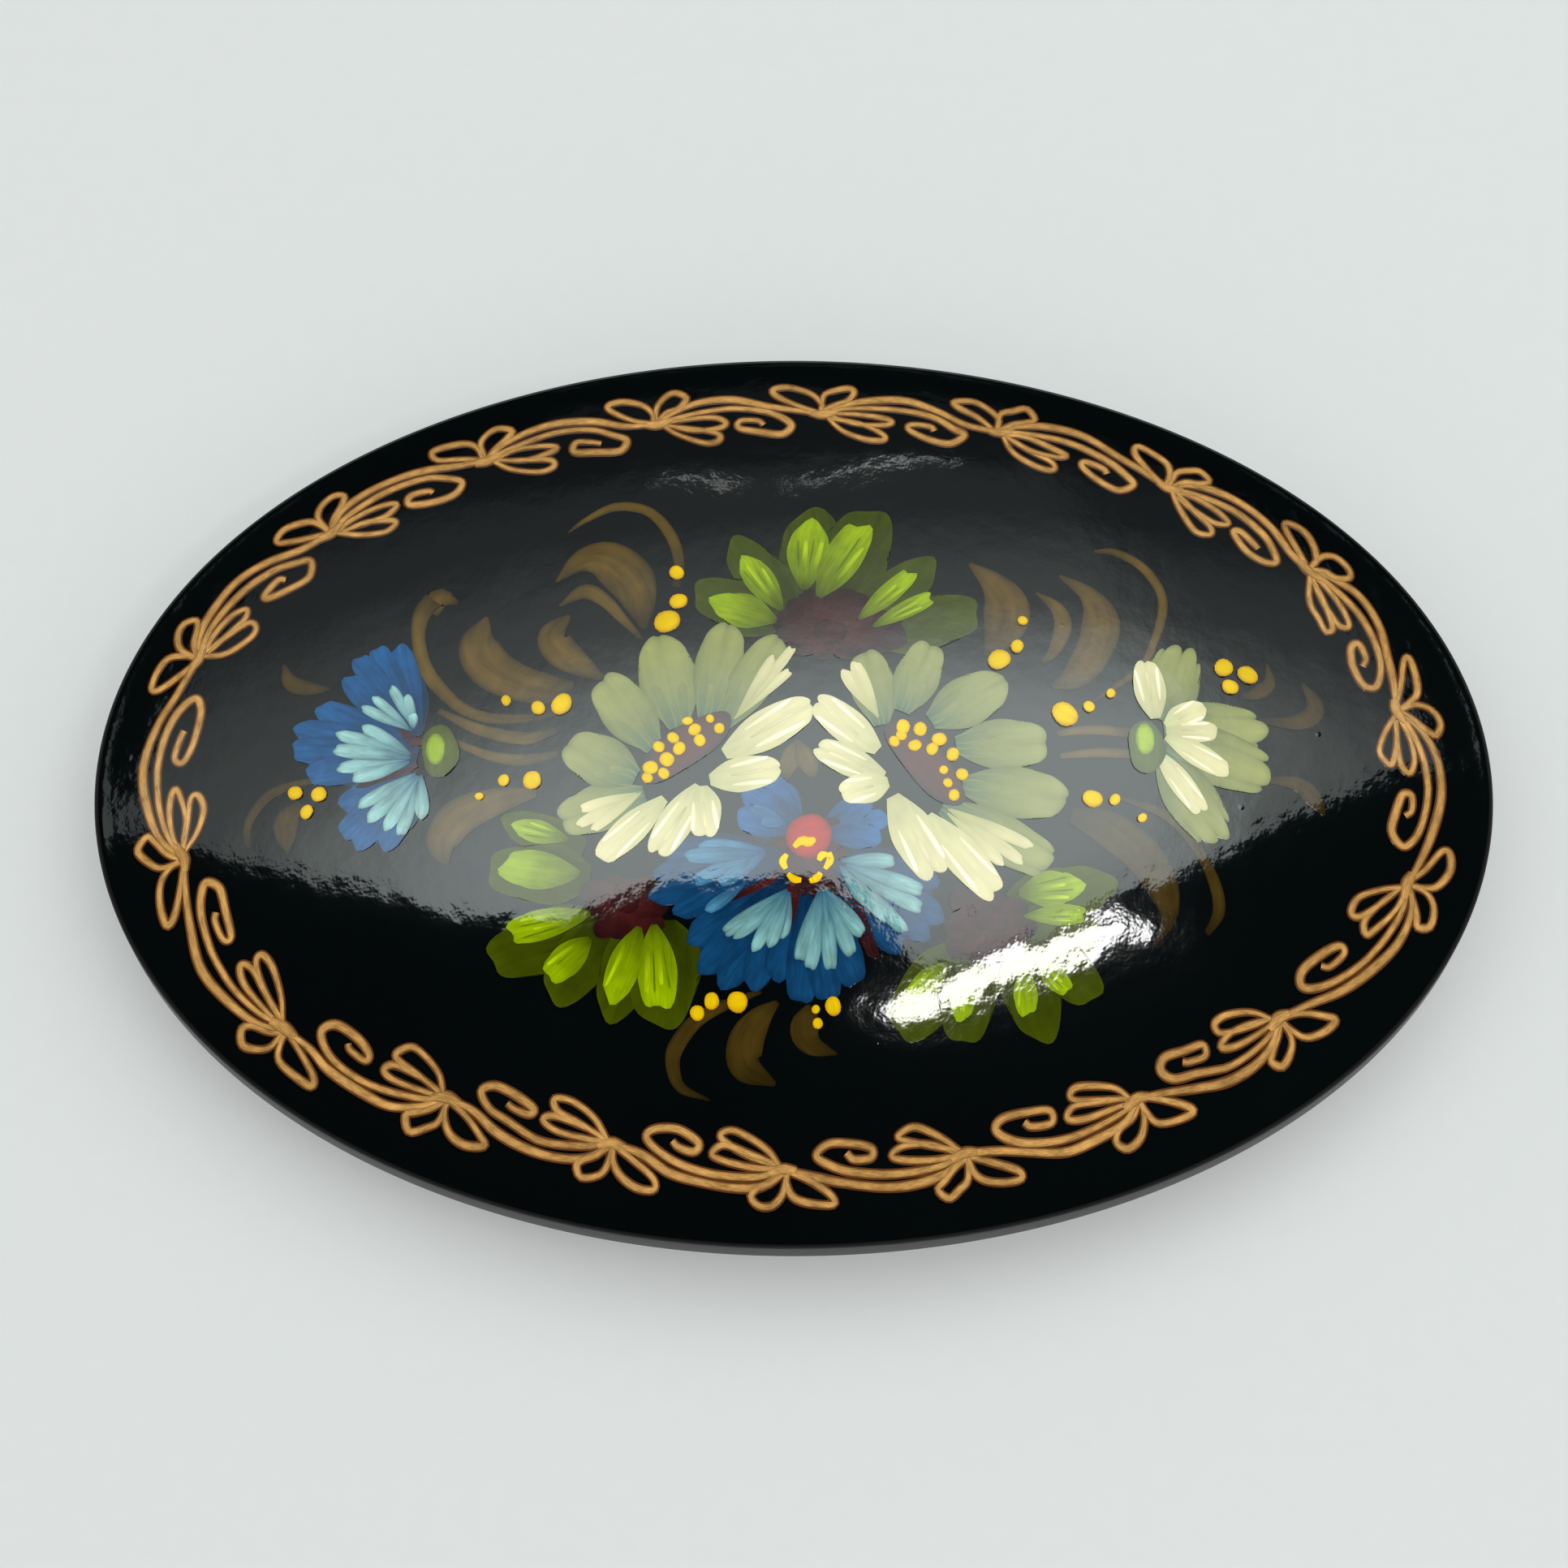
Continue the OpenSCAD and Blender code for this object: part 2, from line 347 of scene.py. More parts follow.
def paintUnderLacquer(name, fineness, depth, metal, sheenTint):
    # the stroke's tint times its bristle streaks, with the dome's own clear coat on top
    material, tree, shader = newMaterial(name, {
        "IOR": 1.5, "Metallic": metal, "Specular Tint": (*sheenTint, 1)})
    tint = addNode(tree, "ShaderNodeAttribute", attribute_name="tint")
    strokeMap = addNode(tree, "ShaderNodeUVMap", uv_map="strokeMap")
    hair = useGroup(tree, bristles, {"Vector": strokeMap.outputs[0], "Fineness": fineness, "Depth": depth})
    mixed = addNode(tree, "ShaderNodeVectorMath", {"Scale": hair.outputs["Shade"]}, operation="SCALE")
    tree.links.new(tint.outputs["Color"], mixed.inputs[0])
    coated(tree, shader, mixed.outputs[0], domeLook)
    return material


def platedMetal(name, colour, tarnish, scratches, sheen):
    material, tree, shader = newMaterial(name, {"Metallic": 1.0})
    wear = useGroup(tree, handling, {
        "Vector": objectPlace(tree), "Tarnish": tarnish, "Scratches": scratches, "Sheen": sheen})
    mixed = addNode(tree, "ShaderNodeVectorMath", {"Scale": wear.outputs["Shade"]}, operation="SCALE")
    mixed.inputs[0].default_value = colour
    join(tree, shader, {
        "Base Color": mixed.outputs[0], "Roughness": wear.outputs["Roughness"],
        "Normal": wear.outputs["Normal"]})
    return material


def curedGlue(name):
    # amber adhesive that wanders between two tones, with small bubbles
    material, tree, shader = newMaterial(name, {"Roughness": 0.16, "IOR": 1.5})
    place = objectPlace(tree)
    tone = blend(tree, noise(tree, place, 500.0, 3.0), (0.22, 0.13, 0.035), (0.5, 0.36, 0.14))
    bubble = addNode(tree, "ShaderNodeTexVoronoi", {"Vector": place, "Scale": 2400.0})
    join(tree, shader, {
        "Base Color": tone, "Normal": bump(tree, 0.5, 0.00003, bubble.outputs["Distance"])})
    return material


def brushedBack(name):
    # black lacquer laid on with a flat brush: long low ridges and a satin shine
    material, tree, shader = newMaterial(name, {"IOR": 1.5})
    place = objectPlace(tree)
    ridge = noise(tree, stretched(tree, place, (60.0, 1500.0, 60.0), (0, 0, 0.06)), 1.0, 3.0)
    dust = noise(tree, place, 300.0, 6.0)
    join(tree, shader, {
        "Base Color": blend(tree, dust, (0.004, 0.004, 0.004), (0.022, 0.02, 0.018)),
        "Roughness": mathNode(tree, "ADD", mathNode(tree, "MULTIPLY", dust, 0.22), 0.12),
        "Normal": bump(tree, 0.6, 0.00002, ridge)})
    return material


domePiece = makeDome(blackLacquer("blackLacquer", domeLook), blackLacquer("edgeLacquer", edgeLook))
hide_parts("dome_shell")
print("dome made:", len(domePiece.data.polygons), "faces")

metalLooks = {              # node: (material, colour, tarnish, scratches, sheen)
    "pin_bar": ("barNickel", (0.6, 0.575, 0.53), 0.55, 0.6, 0.22),
    "hinge_bracket": ("bracketNickel", (0.6, 0.575, 0.53), 0.5, 0.4, 0.2),
    "catch_housing": ("housingNickel", (0.62, 0.6, 0.55), 0.45, 0.4, 0.18),
    "hinge_rivet": ("rivetMetal", (0.68, 0.66, 0.62), 0.3, 0.3, 0.14),
    "catch_rotor": ("collarMetal", (0.66, 0.64, 0.6), 0.35, 0.5, 0.16),
    "pin_stem": ("groundWire", (0.58, 0.58, 0.58), 0.15, 1.0, 0.26),
}


def dress(nodeName, material):
    slots = nodes[nodeName].data.materials
    slots.clear()
    slots.append(material)


for nodeName, look in metalLooks.items():
    dress(nodeName, platedMetal(*look))
dress("glue_bed", curedGlue("amberGlue"))
dress("back_board", brushedBack("brushedBack"))
print("metal, glue and back dressed")

paints = {               # display colours, 0 to 255
    # goldShade is painted shade: the dark along the edges of the raised gold lines and beside them
    "gold": (218, 164, 94), "goldShade": (100, 58, 26),
    "brown": (97, 75, 26), "brownDeep": (50, 38, 13), "brownThin": (22, 17, 6),
    "leaf": (66, 76, 3), "leafDeep": (38, 46, 2),
    "lime": (158, 186, 0), "limeDeep": (96, 120, 2), "limePale": (186, 210, 8),
    "burgundy": (78, 24, 26), "burgundyDeep": (34, 12, 13),
    "blue": (18, 70, 112), "blueBright": (24, 92, 150), "blueDeep": (5, 32, 62), "blueSoft": (48, 102, 146),
    "aqua": (134, 182, 178), "aquaPale": (166, 214, 208), "aquaDeep": (40, 92, 116), "sky": (76, 136, 168),
    "sage": (160, 162, 94), "sageDeep": (96, 106, 60), "sageShade": (60, 92, 66),
    "cream": (236, 224, 172), "creamDeep": (186, 184, 128), "creamLight": (254, 250, 222),
    "yellow": (238, 196, 10), "orange": (196, 134, 8), "red": (178, 26, 22), "redDeep": (110, 12, 16),
}
seed = np.random.default_rng(41)
layers = {}
coatSpacing = 0.011     # mm between one kind of paint and the next
strokeSpacing = 0.0013  # mm between strokes that overlap in one kind
strokeLevels = 8        # strokes of one kind take turns on this many levels
skirt = 0.02            # mm that a stroke's rim dips under the crown
rowLength = 0.22        # mm between the cross rows of a stroke


def paint(name, gain=0.475):
    return linear(*paints[name]) * gain


def lay(layer, grid, tint, across, along, relief=0.0):
    # grid is rows along the stroke by columns across it, in plan; it is draped on the crown later
    layers.setdefault(layer, []).append((grid, tint, across, along, relief))


def smoothPath(points, count):
    # a curve through all the points: each stretch blends its two ends and the slopes of their neighbours
    points = np.asarray(points, float)
    padded = np.concatenate([2 * points[:1] - points[1:2], points, 2 * points[-1:] - points[-2:-1]])
    t = np.linspace(0, len(points) - 1, count)
    i = np.minimum(t.astype(int), len(points) - 2)
    t = (t - i)[:, None]
    a, b, c, d = padded[i], padded[i + 1], padded[i + 2], padded[i + 3]
    square = (2 * a - 5 * b + 4 * c - d) * t ** 2
    cube = (3 * b - a - 3 * c + d) * t ** 3
    return 0.5 * (2 * b + (c - a) * t + square + cube)


def sideOf(base, tip):
    # the unit direction in plan that points to the left of the way from base to tip
    return np.array([base[1] - tip[1], tip[0] - base[0]]) / np.linalg.norm(tip - base)


def mixTint(low, high, share):
    share = np.clip(share, 0, 1)[..., None]
    return low * (1 - share) + high * share


def ribbon(layer, points, widths, middle, edge, edgeShare=1.0, fade=None, relief=0.0, columns=6):
    # a band of changing width along a smooth path, darker or thinner towards its two edges
    points = np.asarray(points, float)
    length = np.sum(np.linalg.norm(np.diff(points, axis=0), axis=1))
    rows = int(max(8, length / rowLength))
    path = smoothPath(np.column_stack([points, widths]), rows)
    centre, width = path[:, :2], np.maximum(path[:, 2], 0.05)
    heading = np.gradient(centre, axis=0)
    heading /= np.linalg.norm(heading, axis=1, keepdims=True) + 1e-9
    side = np.stack([-heading[:, 1], heading[:, 0]], 1)
    u = np.sin(np.linspace(-math.pi / 2, math.pi / 2, columns + 1))
    reach = width[:, None] / 2 * u
    grid = centre[:, None] + side[:, None] * reach[..., None]
    travelled = np.concatenate([[0], np.cumsum(np.linalg.norm(np.diff(centre, axis=0), axis=1))])
    along = np.repeat(travelled[:, None], columns + 1, 1)
    share = np.abs(u) ** 4 * edgeShare + np.zeros_like(reach)
    tint = mixTint(middle, edge, share)
    if fade is not None:
        v = np.linspace(0, 1, rows)
        tint = mixTint(tint, fade[0], np.interp(v, fade[1], fade[2])[:, None] + np.zeros_like(reach))
    lay(layer, grid, tint, reach, along, relief)


def petal(layer, base, tip, width, colours, lobes=0, depth=0.1, bend=0.0, neck=0.25, belly=0.62,
          roundness=1.0, wobble=0.02, outline=0.35, relief=0.0):
    # v runs from base to tip and u across: the half width swells to the belly, the end is an arc cut
    # into rounded tongues, and the whole bends sideways by a parabola
    base, tip = np.asarray(base, float), np.asarray(tip, float)
    axis = tip - base
    length = np.linalg.norm(axis)
    axis /= length
    side = np.array([-axis[1], axis[0]])
    rows = int(max(10, length / rowLength))
    columns = int(max(8, 8 * lobes, width / 0.2))
    v = (1 - (1 - np.linspace(0, 1, rows)) ** 1.35)[:, None]
    w = np.linspace(-1, 1, columns + 1)[None, :]
    u = np.sin(w * math.pi / 2)
    swell = neck + (1 - neck) * np.sin(np.minimum(v / belly, 1) * math.pi / 2)
    swell = swell * (1 - 0.16 * np.clip((v - belly) / (1 - belly), 0, 1) ** 2)
    shoulder = min(0.6, roundness * width / 2 / length)
    end = 1 - shoulder * (1 - np.sqrt(np.clip(1 - u ** 2, 0, 1)))
    if lobes:
        tongue = np.abs(np.sin(math.pi * lobes * (w + 1) / 2)) ** 0.55
        end = end * (1 - depth * (1 - tongue) * (1 + 0.35 * np.sin(w * 3 + seed.uniform(0, 6))))
    end = end * (1 + wobble * np.sin(u * 4 + seed.uniform(0, 6)))
    forward = v * end * length
    sideways = u * swell * width / 2 * (1 + wobble * np.sin(v * 5 + seed.uniform(0, 6)))
    sideways = sideways + bend * length * v * v
    grid = base + axis * forward[..., None] + side * sideways[..., None]
    low, high, edge = colours
    tint = mixTint(low, high, (v ** 0.8) * (1 - 0.25 * np.abs(u)) + 0 * u)
    if lobes > 1:
        seam = (1 - tongue) * v ** 2 * 0.5
        tint = mixTint(tint, low, seam)
    rim = np.maximum(np.abs(u) ** 6, np.clip((v - 0.9) / 0.1, 0, 1) ** 2)
    tint = mixTint(tint, edge, rim * outline)
    tint = tint * (1 + seed.uniform(-0.06, 0.06))
    lay(layer, grid, tint, sideways, forward, relief)


def blob(layer, centre, longWay, shortWay, turn, middle, edge, relief=0.0, wobble=0.06):
    # an ellipse in rows across its long way, each as wide as the circle law gives, slightly uneven
    rows = int(max(8, longWay / 0.12))
    columns = int(max(6, shortWay / 0.12))
    phi = np.linspace(0.02, math.pi - 0.02, rows)[:, None]
    u = np.sin(np.linspace(-math.pi / 2, math.pi / 2, columns + 1))[None, :]
    uneven = 1 + wobble * np.sin(3 * phi + seed.uniform(0, 6)) * np.sign(u)
    forward = -np.cos(phi) * longWay + 0 * u
    sideways = np.sin(phi) * u * shortWay * uneven
    angle = math.radians(turn)
    axis = np.array([math.cos(angle), math.sin(angle)])
    side = np.array([-axis[1], axis[0]])
    grid = np.asarray(centre, float) + axis * forward[..., None] + side * sideways[..., None]
    share = (forward / longWay) ** 2 + (sideways / shortWay) ** 2
    lay(layer, grid, mixTint(middle, edge, share ** 3), sideways, forward, relief)


def drape(name, order, material):
    # every stroke gets the crown's height plus its own coat, a rim that dips under the crown, and a floor
    points, normals, tints, maps, faces, start = [], [], [], [], [], 0
    for number, (grid, tint, across, along, relief) in enumerate(layers[name]):
        rows, columns = grid.shape[0] + 2, grid.shape[1] + 2
        grid = np.pad(grid, ((1, 1), (1, 1), (0, 0)), mode="edge")
        tint = np.pad(tint, ((1, 1), (1, 1), (0, 0)), mode="edge")
        across = np.pad(np.broadcast_to(across, (rows - 2, columns - 2)), 1, mode="edge")
        along = np.pad(np.broadcast_to(along, (rows - 2, columns - 2)), 1, mode="edge")
        lift = np.full((rows, columns), order * coatSpacing + (number % strokeLevels) * strokeSpacing)
        swell = np.outer(np.sin(np.linspace(0, math.pi, rows)), np.sin(np.linspace(0, math.pi, columns)))
        lift += relief * swell
        lift[[0, -1]] = -skirt
        lift[:, [0, -1]] = -skirt
        x, y = grid[..., 0], grid[..., 1]
        points.append(np.stack([x, y, crownHeight(x, y) + lift], -1).reshape(-1, 3))
        normals.append(crownNormal(x, y).reshape(-1, 3))
        tints.append(np.clip(tint, 0, 1).reshape(-1, 3))
        offset = seed.uniform(0, 60)
        maps.append(np.stack([across + offset, along + offset / 3], -1).reshape(-1, 2))
        faces += gridFaces(rows, columns, start)
        i = start + np.arange(rows - 1) * columns
        faces += np.stack([i, i + columns - 1, i + 2 * columns - 1, i + columns], -1).tolist()
        faces.append((start + np.arange(columns)).tolist())
        faces.append((start + rows * columns - 1 - np.arange(columns)).tolist())
        start += rows * columns
    points = np.concatenate(points) * mm
    piece = finishMesh(name, points, faces, material, "brooch")
    mesh = piece.data
    attribute = mesh.color_attributes.new("tint", "FLOAT_COLOR", "POINT")
    colours = np.concatenate([np.concatenate(tints), np.ones((len(points), 1))], 1)
    attribute.data.foreach_set("color", colours.astype(np.float32).ravel())
    corner = np.empty(len(mesh.loops), np.int32)
    mesh.loops.foreach_get("vertex_index", corner)
    layer = mesh.uv_layers.new(name="strokeMap")
    layer.data.foreach_set("uv", np.concatenate(maps)[corner].astype(np.float32).ravel())
    mesh.normals_split_custom_set_from_vertices(np.concatenate(normals).tolist())
    return piece


vine = {
    "line": 0.315,          # mm, width of a pen line
    "outline": 0.15,        # how much wider the brown painted shadow line under it is
    "unit": 9.6,            # length of one motif as drawn below
    "looseFrom": 4.2,       # past this point a motif stretches fully with the way to the next knot
    "knotDepth": 3.7,       # distance of its knot from the rim as drawn below
    "rimLength": 184.2,     # once round the oval
    "knots": [8.7, 19.4, 29.0, 38.5, 47.5, 57.1, 67.0, 76.2, 86.6,
              98.6, 110.2, 119.4, 129.0, 138.6, 147.7, 156.9, 166.7, 178.9],
    "depths": [3.5, 3.7, 3.9, 4.2, 4.1, 3.9, 3.9, 3.6, 4.5,
               3.75, 4.5, 4.4, 4.1, 4.0, 4.5, 4.4, 3.3, 4.4],
    "handShake": 0.07,
}
motif = [                   # (part, line width share, path as (along the rim, in from the rim))
    ("stem", 1.25, [(0, 3.7), (1.2, 2.9), (2.8, 2.5), (4.6, 2.5), (6.4, 2.9), (8.0, 3.4), (9.6, 3.7)]),
    ("curl", 1.15, [(0.2, 3.65), (1.6, 3.3), (4.0, 3.12), (6.0, 3.45), (7.2, 3.9), (7.9, 4.5), (7.3, 5.1),
                    (6.0, 5.0), (4.9, 4.6), (5.0, 4.15), (5.9, 4.2), (6.3, 4.5)]),
    ("loop", 1.05, [(0, 3.7), (-1.2, 3.1), (-2.3, 2.4), (-2.5, 1.9), (-1.6, 1.8), (-0.6, 2.2), (-0.1, 2.9),
                    (0, 3.6)]),
    ("loop", 1.05, [(0, 3.6), (0.1, 2.5), (0.6, 1.9), (1.4, 1.65), (1.8, 2.1), (1.4, 2.6), (0.7, 3.0),
                    (0.1, 3.6)]),
    ("leaf", 0.95, [(0.3, 3.75), (1.6, 3.6), (3.2, 3.75), (4.0, 4.1), (3.4, 4.5), (2.0, 4.4), (0.6, 3.95)]),
    ("leaf", 0.95, [(0.3, 3.8), (1.2, 4.8), (2.6, 5.45), (3.5, 5.35), (3.4, 4.85), (2.0, 4.35), (0.5, 3.9)]),
    ("knot", 1.7, [(-0.6, 3.6), (0.1, 3.72), (0.9, 3.5)]),
]


def rimPlace(travel, depth):
    # walks the rim clockwise from the left end by the travel, then goes straight in by the depth,
    # shortened in plan by the crown's slope
    angle = np.linspace(math.pi, -math.pi, 4001)
    rimX, rimY = dome["halfLength"] * np.cos(angle), dome["halfWidth"] * np.sin(angle)
    walked = np.concatenate([[0], np.cumsum(np.hypot(np.diff(rimX), np.diff(rimY)))])
    at = np.interp(np.mod(travel, walked[-1]), walked, angle)
    x, y = dome["halfLength"] * np.cos(at), dome["halfWidth"] * np.sin(at)
    inward = -np.stack([x / dome["halfLength"] ** 2, y / dome["halfWidth"] ** 2], -1)
    slope = 2 * dome["rise"] * np.linalg.norm(inward, axis=-1) * 0.93
    inward /= np.linalg.norm(inward, axis=-1, keepdims=True)
    plan = depth / np.sqrt(1 + slope ** 2)
    return np.stack([x, y], -1) + inward * plan[..., None]


def paintVine():
    # one motif from knot to knot: its stem meets the next knot, its knot is drawn with a steady hand
    knots = np.array(vine["knots"])
    around = vine["rimLength"]
    wide = np.concatenate([knots[-1:] - around, knots, knots[:1] + around])
    depths = np.array(vine["depths"])
    deep = np.concatenate([depths[-1:], depths, depths[:1]])
    gold, edge = paint("gold"), paint("goldShade")
    for number, knot in enumerate(knots):
        stretch = (wide[number + 2] - knot) / vine["unit"]
        for part, share, path in motif:
            path = np.array(path)
            shake = seed.normal(0, vine["handShake"], path.shape)
            if part == "stem":
                shake[[0, -1]] = 0
            if part != "knot":
                path = smoothPath(path + shake, len(path) * 4)
            along = path[:, 0]
            loose = (along > vine["looseFrom"]) | (part == "stem")
            travel = knot + along * np.where(loose, stretch, 0.5 + 0.5 * stretch)
            depth = path[:, 1] + np.interp(travel, wide, deep) - vine["knotDepth"]
            flow = np.linspace(0, math.pi, len(path))
            width = vine["line"] * share * (0.72 + 0.28 * np.sin(flow) + 0.1 * np.sin(3 * flow + number))
            place = rimPlace(travel, depth)
            tone = gold * seed.uniform(0.9, 1.1)
            # a wider brown stroke under each gold line: painted shadow beside the raised gold
            ribbon("GoldOutlines", place, width + vine["outline"], edge, edge, columns=5)
            # the gold line darkens towards both edges with goldShade: painted shade on the round of the
            # raised line
            ribbon("GoldBorder", place, width, tone, edge, 0.8, relief=0.02, columns=5)


paintVine()
print("gold vine drawn:", len(layers["GoldBorder"]), "strokes")

scrolls = [                 # (path in plan, widths), mm, thin brown washes behind the flowers
    ([(-11.25, 12.4), (-10.35, 13.1), (-8.9, 13.8), (-7.3, 13.5), (-6.2, 12.2), (-5.7, 10.6), (-5.8, 9.15)],
     [.1, .3, .5, .55, .6, .55, .4]),
    ([(-11.8, 9.6), (-10.6, 10.7), (-9.3, 10.7), (-8.1, 9.6), (-7.6, 8.2), (-7.4, 6.9)],
     [.1, 1.2, 2.2, 2.4, 1.6, .3]),
    ([(-11.6, 8.25), (-10.35, 9.0), (-9.3, 8.4), (-8.4, 7.35), (-7.5, 6.3)], [.1, .8, .7, .5, .2]),
    ([(-18.1, 8.2), (-17.6, 9.0), (-16.7, 8.7)], [.9, 1.1, .2]),
    ([(-17.9, 8.9), (-18.5, 8.1), (-18.6, 6.8), (-18.25, 5.2), (-17.35, 3.95), (-16.3, 2.95), (-15, 2.4),
      (-13.2, 2.3), (-11.5, 2.5)], [1.1, .9, .7, .8, .7, .6, .55, .45, .2]),
    ([(-15.2, 7.8), (-15.6, 6.4), (-15.0, 5.1), (-13.6, 4.2), (-12, 3.8), (-10.8, 4.0)],
     [.2, 1.9, 2.2, 1.9, 1.5, .4]),
    ([(-11.1, 7.7), (-11.9, 6.7), (-11.5, 5.8), (-10.5, 5.0), (-9.4, 4.25)], [.2, 1.4, 1.7, 1.2, .3]),
    ([(-17.5, 2.9), (-15.4, 1.8), (-13.2, 1.25), (-11.6, 1.6)], [.3, .6, .65, .3]),
    ([(-16.8, 1.3), (-14.9, .45), (-13.2, .15), (-11.5, .45)], [.3, .5, .6, .3]),
    ([(-25.4, 5.9), (-25, 4.9), (-24, 4.5), (-23, 4.4)], [.15, .8, .7, .15]),
    ([(-22.1, -.6), (-23.9, -.35), (-25.7, -.8), (-26.65, -1.7), (-27, -2.6), (-26.9, -3.5)],
     [.2, .3, .5, .5, .4, .2]),
    ([(-24.3, -1.4), (-25, -2.3), (-25, -3.2), (-24.9, -3.9)], [.4, 1.2, .9, .15]),
    ([(-12.6, -1.5), (-14.6, -1.9), (-16.4, -2.6), (-17.2, -3.8), (-17, -4.9)], [.5, 1.4, 1.9, 1.6, .3]),
    ([(8.7, 10.5), (9.9, 9.4), (10.5, 8.2), (10.3, 6.9), (9.5, 5.4)], [.2, 1.4, 2.3, 2.0, .4]),
    ([(12, 9), (13, 8.2), (13.3, 7.2), (12.8, 5.8), (12.2, 5.2)], [.1, .7, .9, .6, .2]),
    ([(13.2, 10), (14.6, 9), (15.2, 7.6), (14.8, 6), (13.9, 4.6), (12.7, 3.9)],
     [.15, 1.0, 1.9, 1.8, 1.4, .3]),
    ([(15, 11.5), (16, 11.5), (17.3, 10.8), (18.2, 9.5), (18.3, 8.2), (17.8, 6.5), (17.2, 5.2), (16, 4.2),
      (14.7, 3.2)], [.15, .4, .5, .5, .5, .4, .4, .3, .1]),
    ([(12.9, 1.5), (14.6, 1.75), (16.6, 1.7)], [.3, .5, .5]),
    ([(13.0, .35), (15.0, .6), (17, .6)], [.3, .5, .5]),
    ([(23.5, 5.8), (23.6, 4.8), (23, 4.2), (22.1, 3.9)], [.1, .6, .7, .2]),
    ([(25.3, 4.9), (25.9, 3.6), (25, 2.8), (23, 2.7)], [.15, .9, .8, .2]),
    ([(23.3, -.3), (24.8, -.4), (25.6, -1), (26.2, -1.9)], [.3, .7, .9, .15]),
    ([(13.5, -2.6), (15.3, -3.2), (17, -4.4), (18, -5.9), (18.3, -7.4), (17.6, -8.8)],
     [.8, 1.8, 1.9, 1.6, .8, .15]),
    ([(15.8, -1.6), (18.2, -2.4), (19.7, -3.9), (20.6, -5.6), (20.8, -7), (20.2, -8.1)],
     [.2, .5, .5, .6, .6, .3]),
    ([(-1.6, -11.3), (-3.3, -11.9), (-4.7, -12.6), (-5.65, -13.7), (-5.9, -14.6), (-5.5, -15.7),
      (-4.1, -16.3)],
     [.2, .5, .7, .8, .7, .5, .1]),
    ([(-.8, -11.8), (-1.7, -12.6), (-2.35, -13.7), (-2.3, -14.8), (-.9, -15.6)], [.25, 1.2, 1.75, 1.5, .2]),
    ([(.9, -12), (.5, -13), (.9, -13.8), (2.1, -14.2)], [.6, 1.4, 1.0, .1]),
    ([(.2, .9), (.1, .3), (-.3, -.4), (-.4, -1.1)], [.3, 1.1, .9, .3]),
    ([(.2, .8), (.5, .1), (.8, -.5), (.9, -1.0)], [.3, 1.0, .9, .3]),
]
for path, widths in scrolls:
    startX, startY = path[0]
    thin = abs(startX) > 20 or startY < -10 or (startX > 12 and startY < -1.5)      # a paler wash
    brown = paint("brown") * (0.5 if thin else 1.0)
    ribbon("ScrollPaint", path, widths, brown, paint("brownDeep"), 0.9,
           fade=(paint("brownThin"), [0, .25, .7, 1], [.6, 0, .1, .8]), columns=12 if max(widths) > 1 else 6)

leafTones = (paint("leafDeep"), paint("leaf"), paint("leaf", 0.6))
limeTones = (paint("leaf"), paint("lime"), paint("limeDeep"))
limePale = (paint("limeDeep"), paint("limePale"), paint("lime"))
hairTones = (paint("limeDeep"), paint("limeDeep"), paint("lime"))
limeHairs = [               # (place across the petal, thickness, tones), shares of its width
    (-0.3, 0.12, limePale), (-0.1, 0.06, hairTones), (0.08, 0.12, limePale), (0.28, 0.07, hairTones),
]
leaves = [                  # (base, tip, width, bend) of the dark lobes
    ((1.3, 8.6), (.8, 13.5), 4.0, 0), ((2.0, 8.6), (4.1, 13.5), 3.6, 0),
    ((-.2, 7.7), (-2.8, 11.9), 2.7, .05), ((-.2, 7.2), (-5.0, 8.9), 3.0, 0),
    ((3.2, 7.0), (6.9, 10.6), 2.6, 0), ((3.6, 6.4), (9.2, 7.9), 3.1, 0),
    ((-6.9, -7.9), (-9.1, -12.5), 2.9, 0), ((-6.4, -7.9), (-6.4, -13.0), 4.0, 0),
    ((-9.2, -8.0), (-14.9, -9.6), 3.1, 0), ((-9.2, -8.2), (-11.8, -11.6), 2.9, 0),
    ((-10.2, -4.4), (-14.2, -2.8), 2.0, 0), ((-9.9, -5.8), (-15.0, -5.2), 3.0, 0),
    ((8.3, -9.2), (5.0, -13.3), 3.2, 0), ((8.6, -9.2), (8.2, -13.7), 3.0, 0),
    ((11.0, -8.8), (12.2, -13.5), 3.0, 0), ((11.4, -8.6), (14.8, -11.4), 2.8, 0),
    ((10.2, -7.4), (15.6, -5.8), 3.0, 0), ((10.6, -7.8), (15.0, -8.6), 2.4, 0),
]
for base, tip, width, bend in leaves:
    petal("LeafPaint", base, tip, width, leafTones, bend=bend, neck=0.35, roundness=1.25, wobble=0.04)
limePetals = [              # (base, tip, width): one press of a full brush each
    ((.5, 8.9), (.9, 12.8), 2.1), ((1.2, 8.5), (3.5, 12.6), 2.0),
    ((-.6, 7.8), (-2.5, 10.7), 1.5), ((-.85, 7.2), (-4.1, 8.3), 1.8),
    ((3.2, 7.3), (5.9, 9.9), 1.1), ((3.9, 6.9), (6.8, 8.6), .95),
    ((-7.5, -8.2), (-8.9, -11.7), 1.7), ((-6.8, -8.1), (-6.5, -12.1), 2.0),
    ((-9.9, -7.5), (-13.9, -8.3), 1.5), ((-9.9, -8.7), (-12.0, -10.5), 1.6),
    ((-11.0, -3.9), (-13.7, -3.1), 1.1), ((-10.4, -5.6), (-14.3, -5.1), 1.9),
    ((7.5, -9.9), (5.4, -11.8), 1.2), ((8.3, -10.4), (8.1, -12.6), 1.3),
    ((11.2, -10.0), (11.3, -12.3), 1.2), ((11.9, -9.8), (13.4, -11.1), 1.1),
    ((10.9, -6.5), (14.1, -6.0), 1.7), ((11.2, -7.6), (14.2, -7.4), 1.0),
]


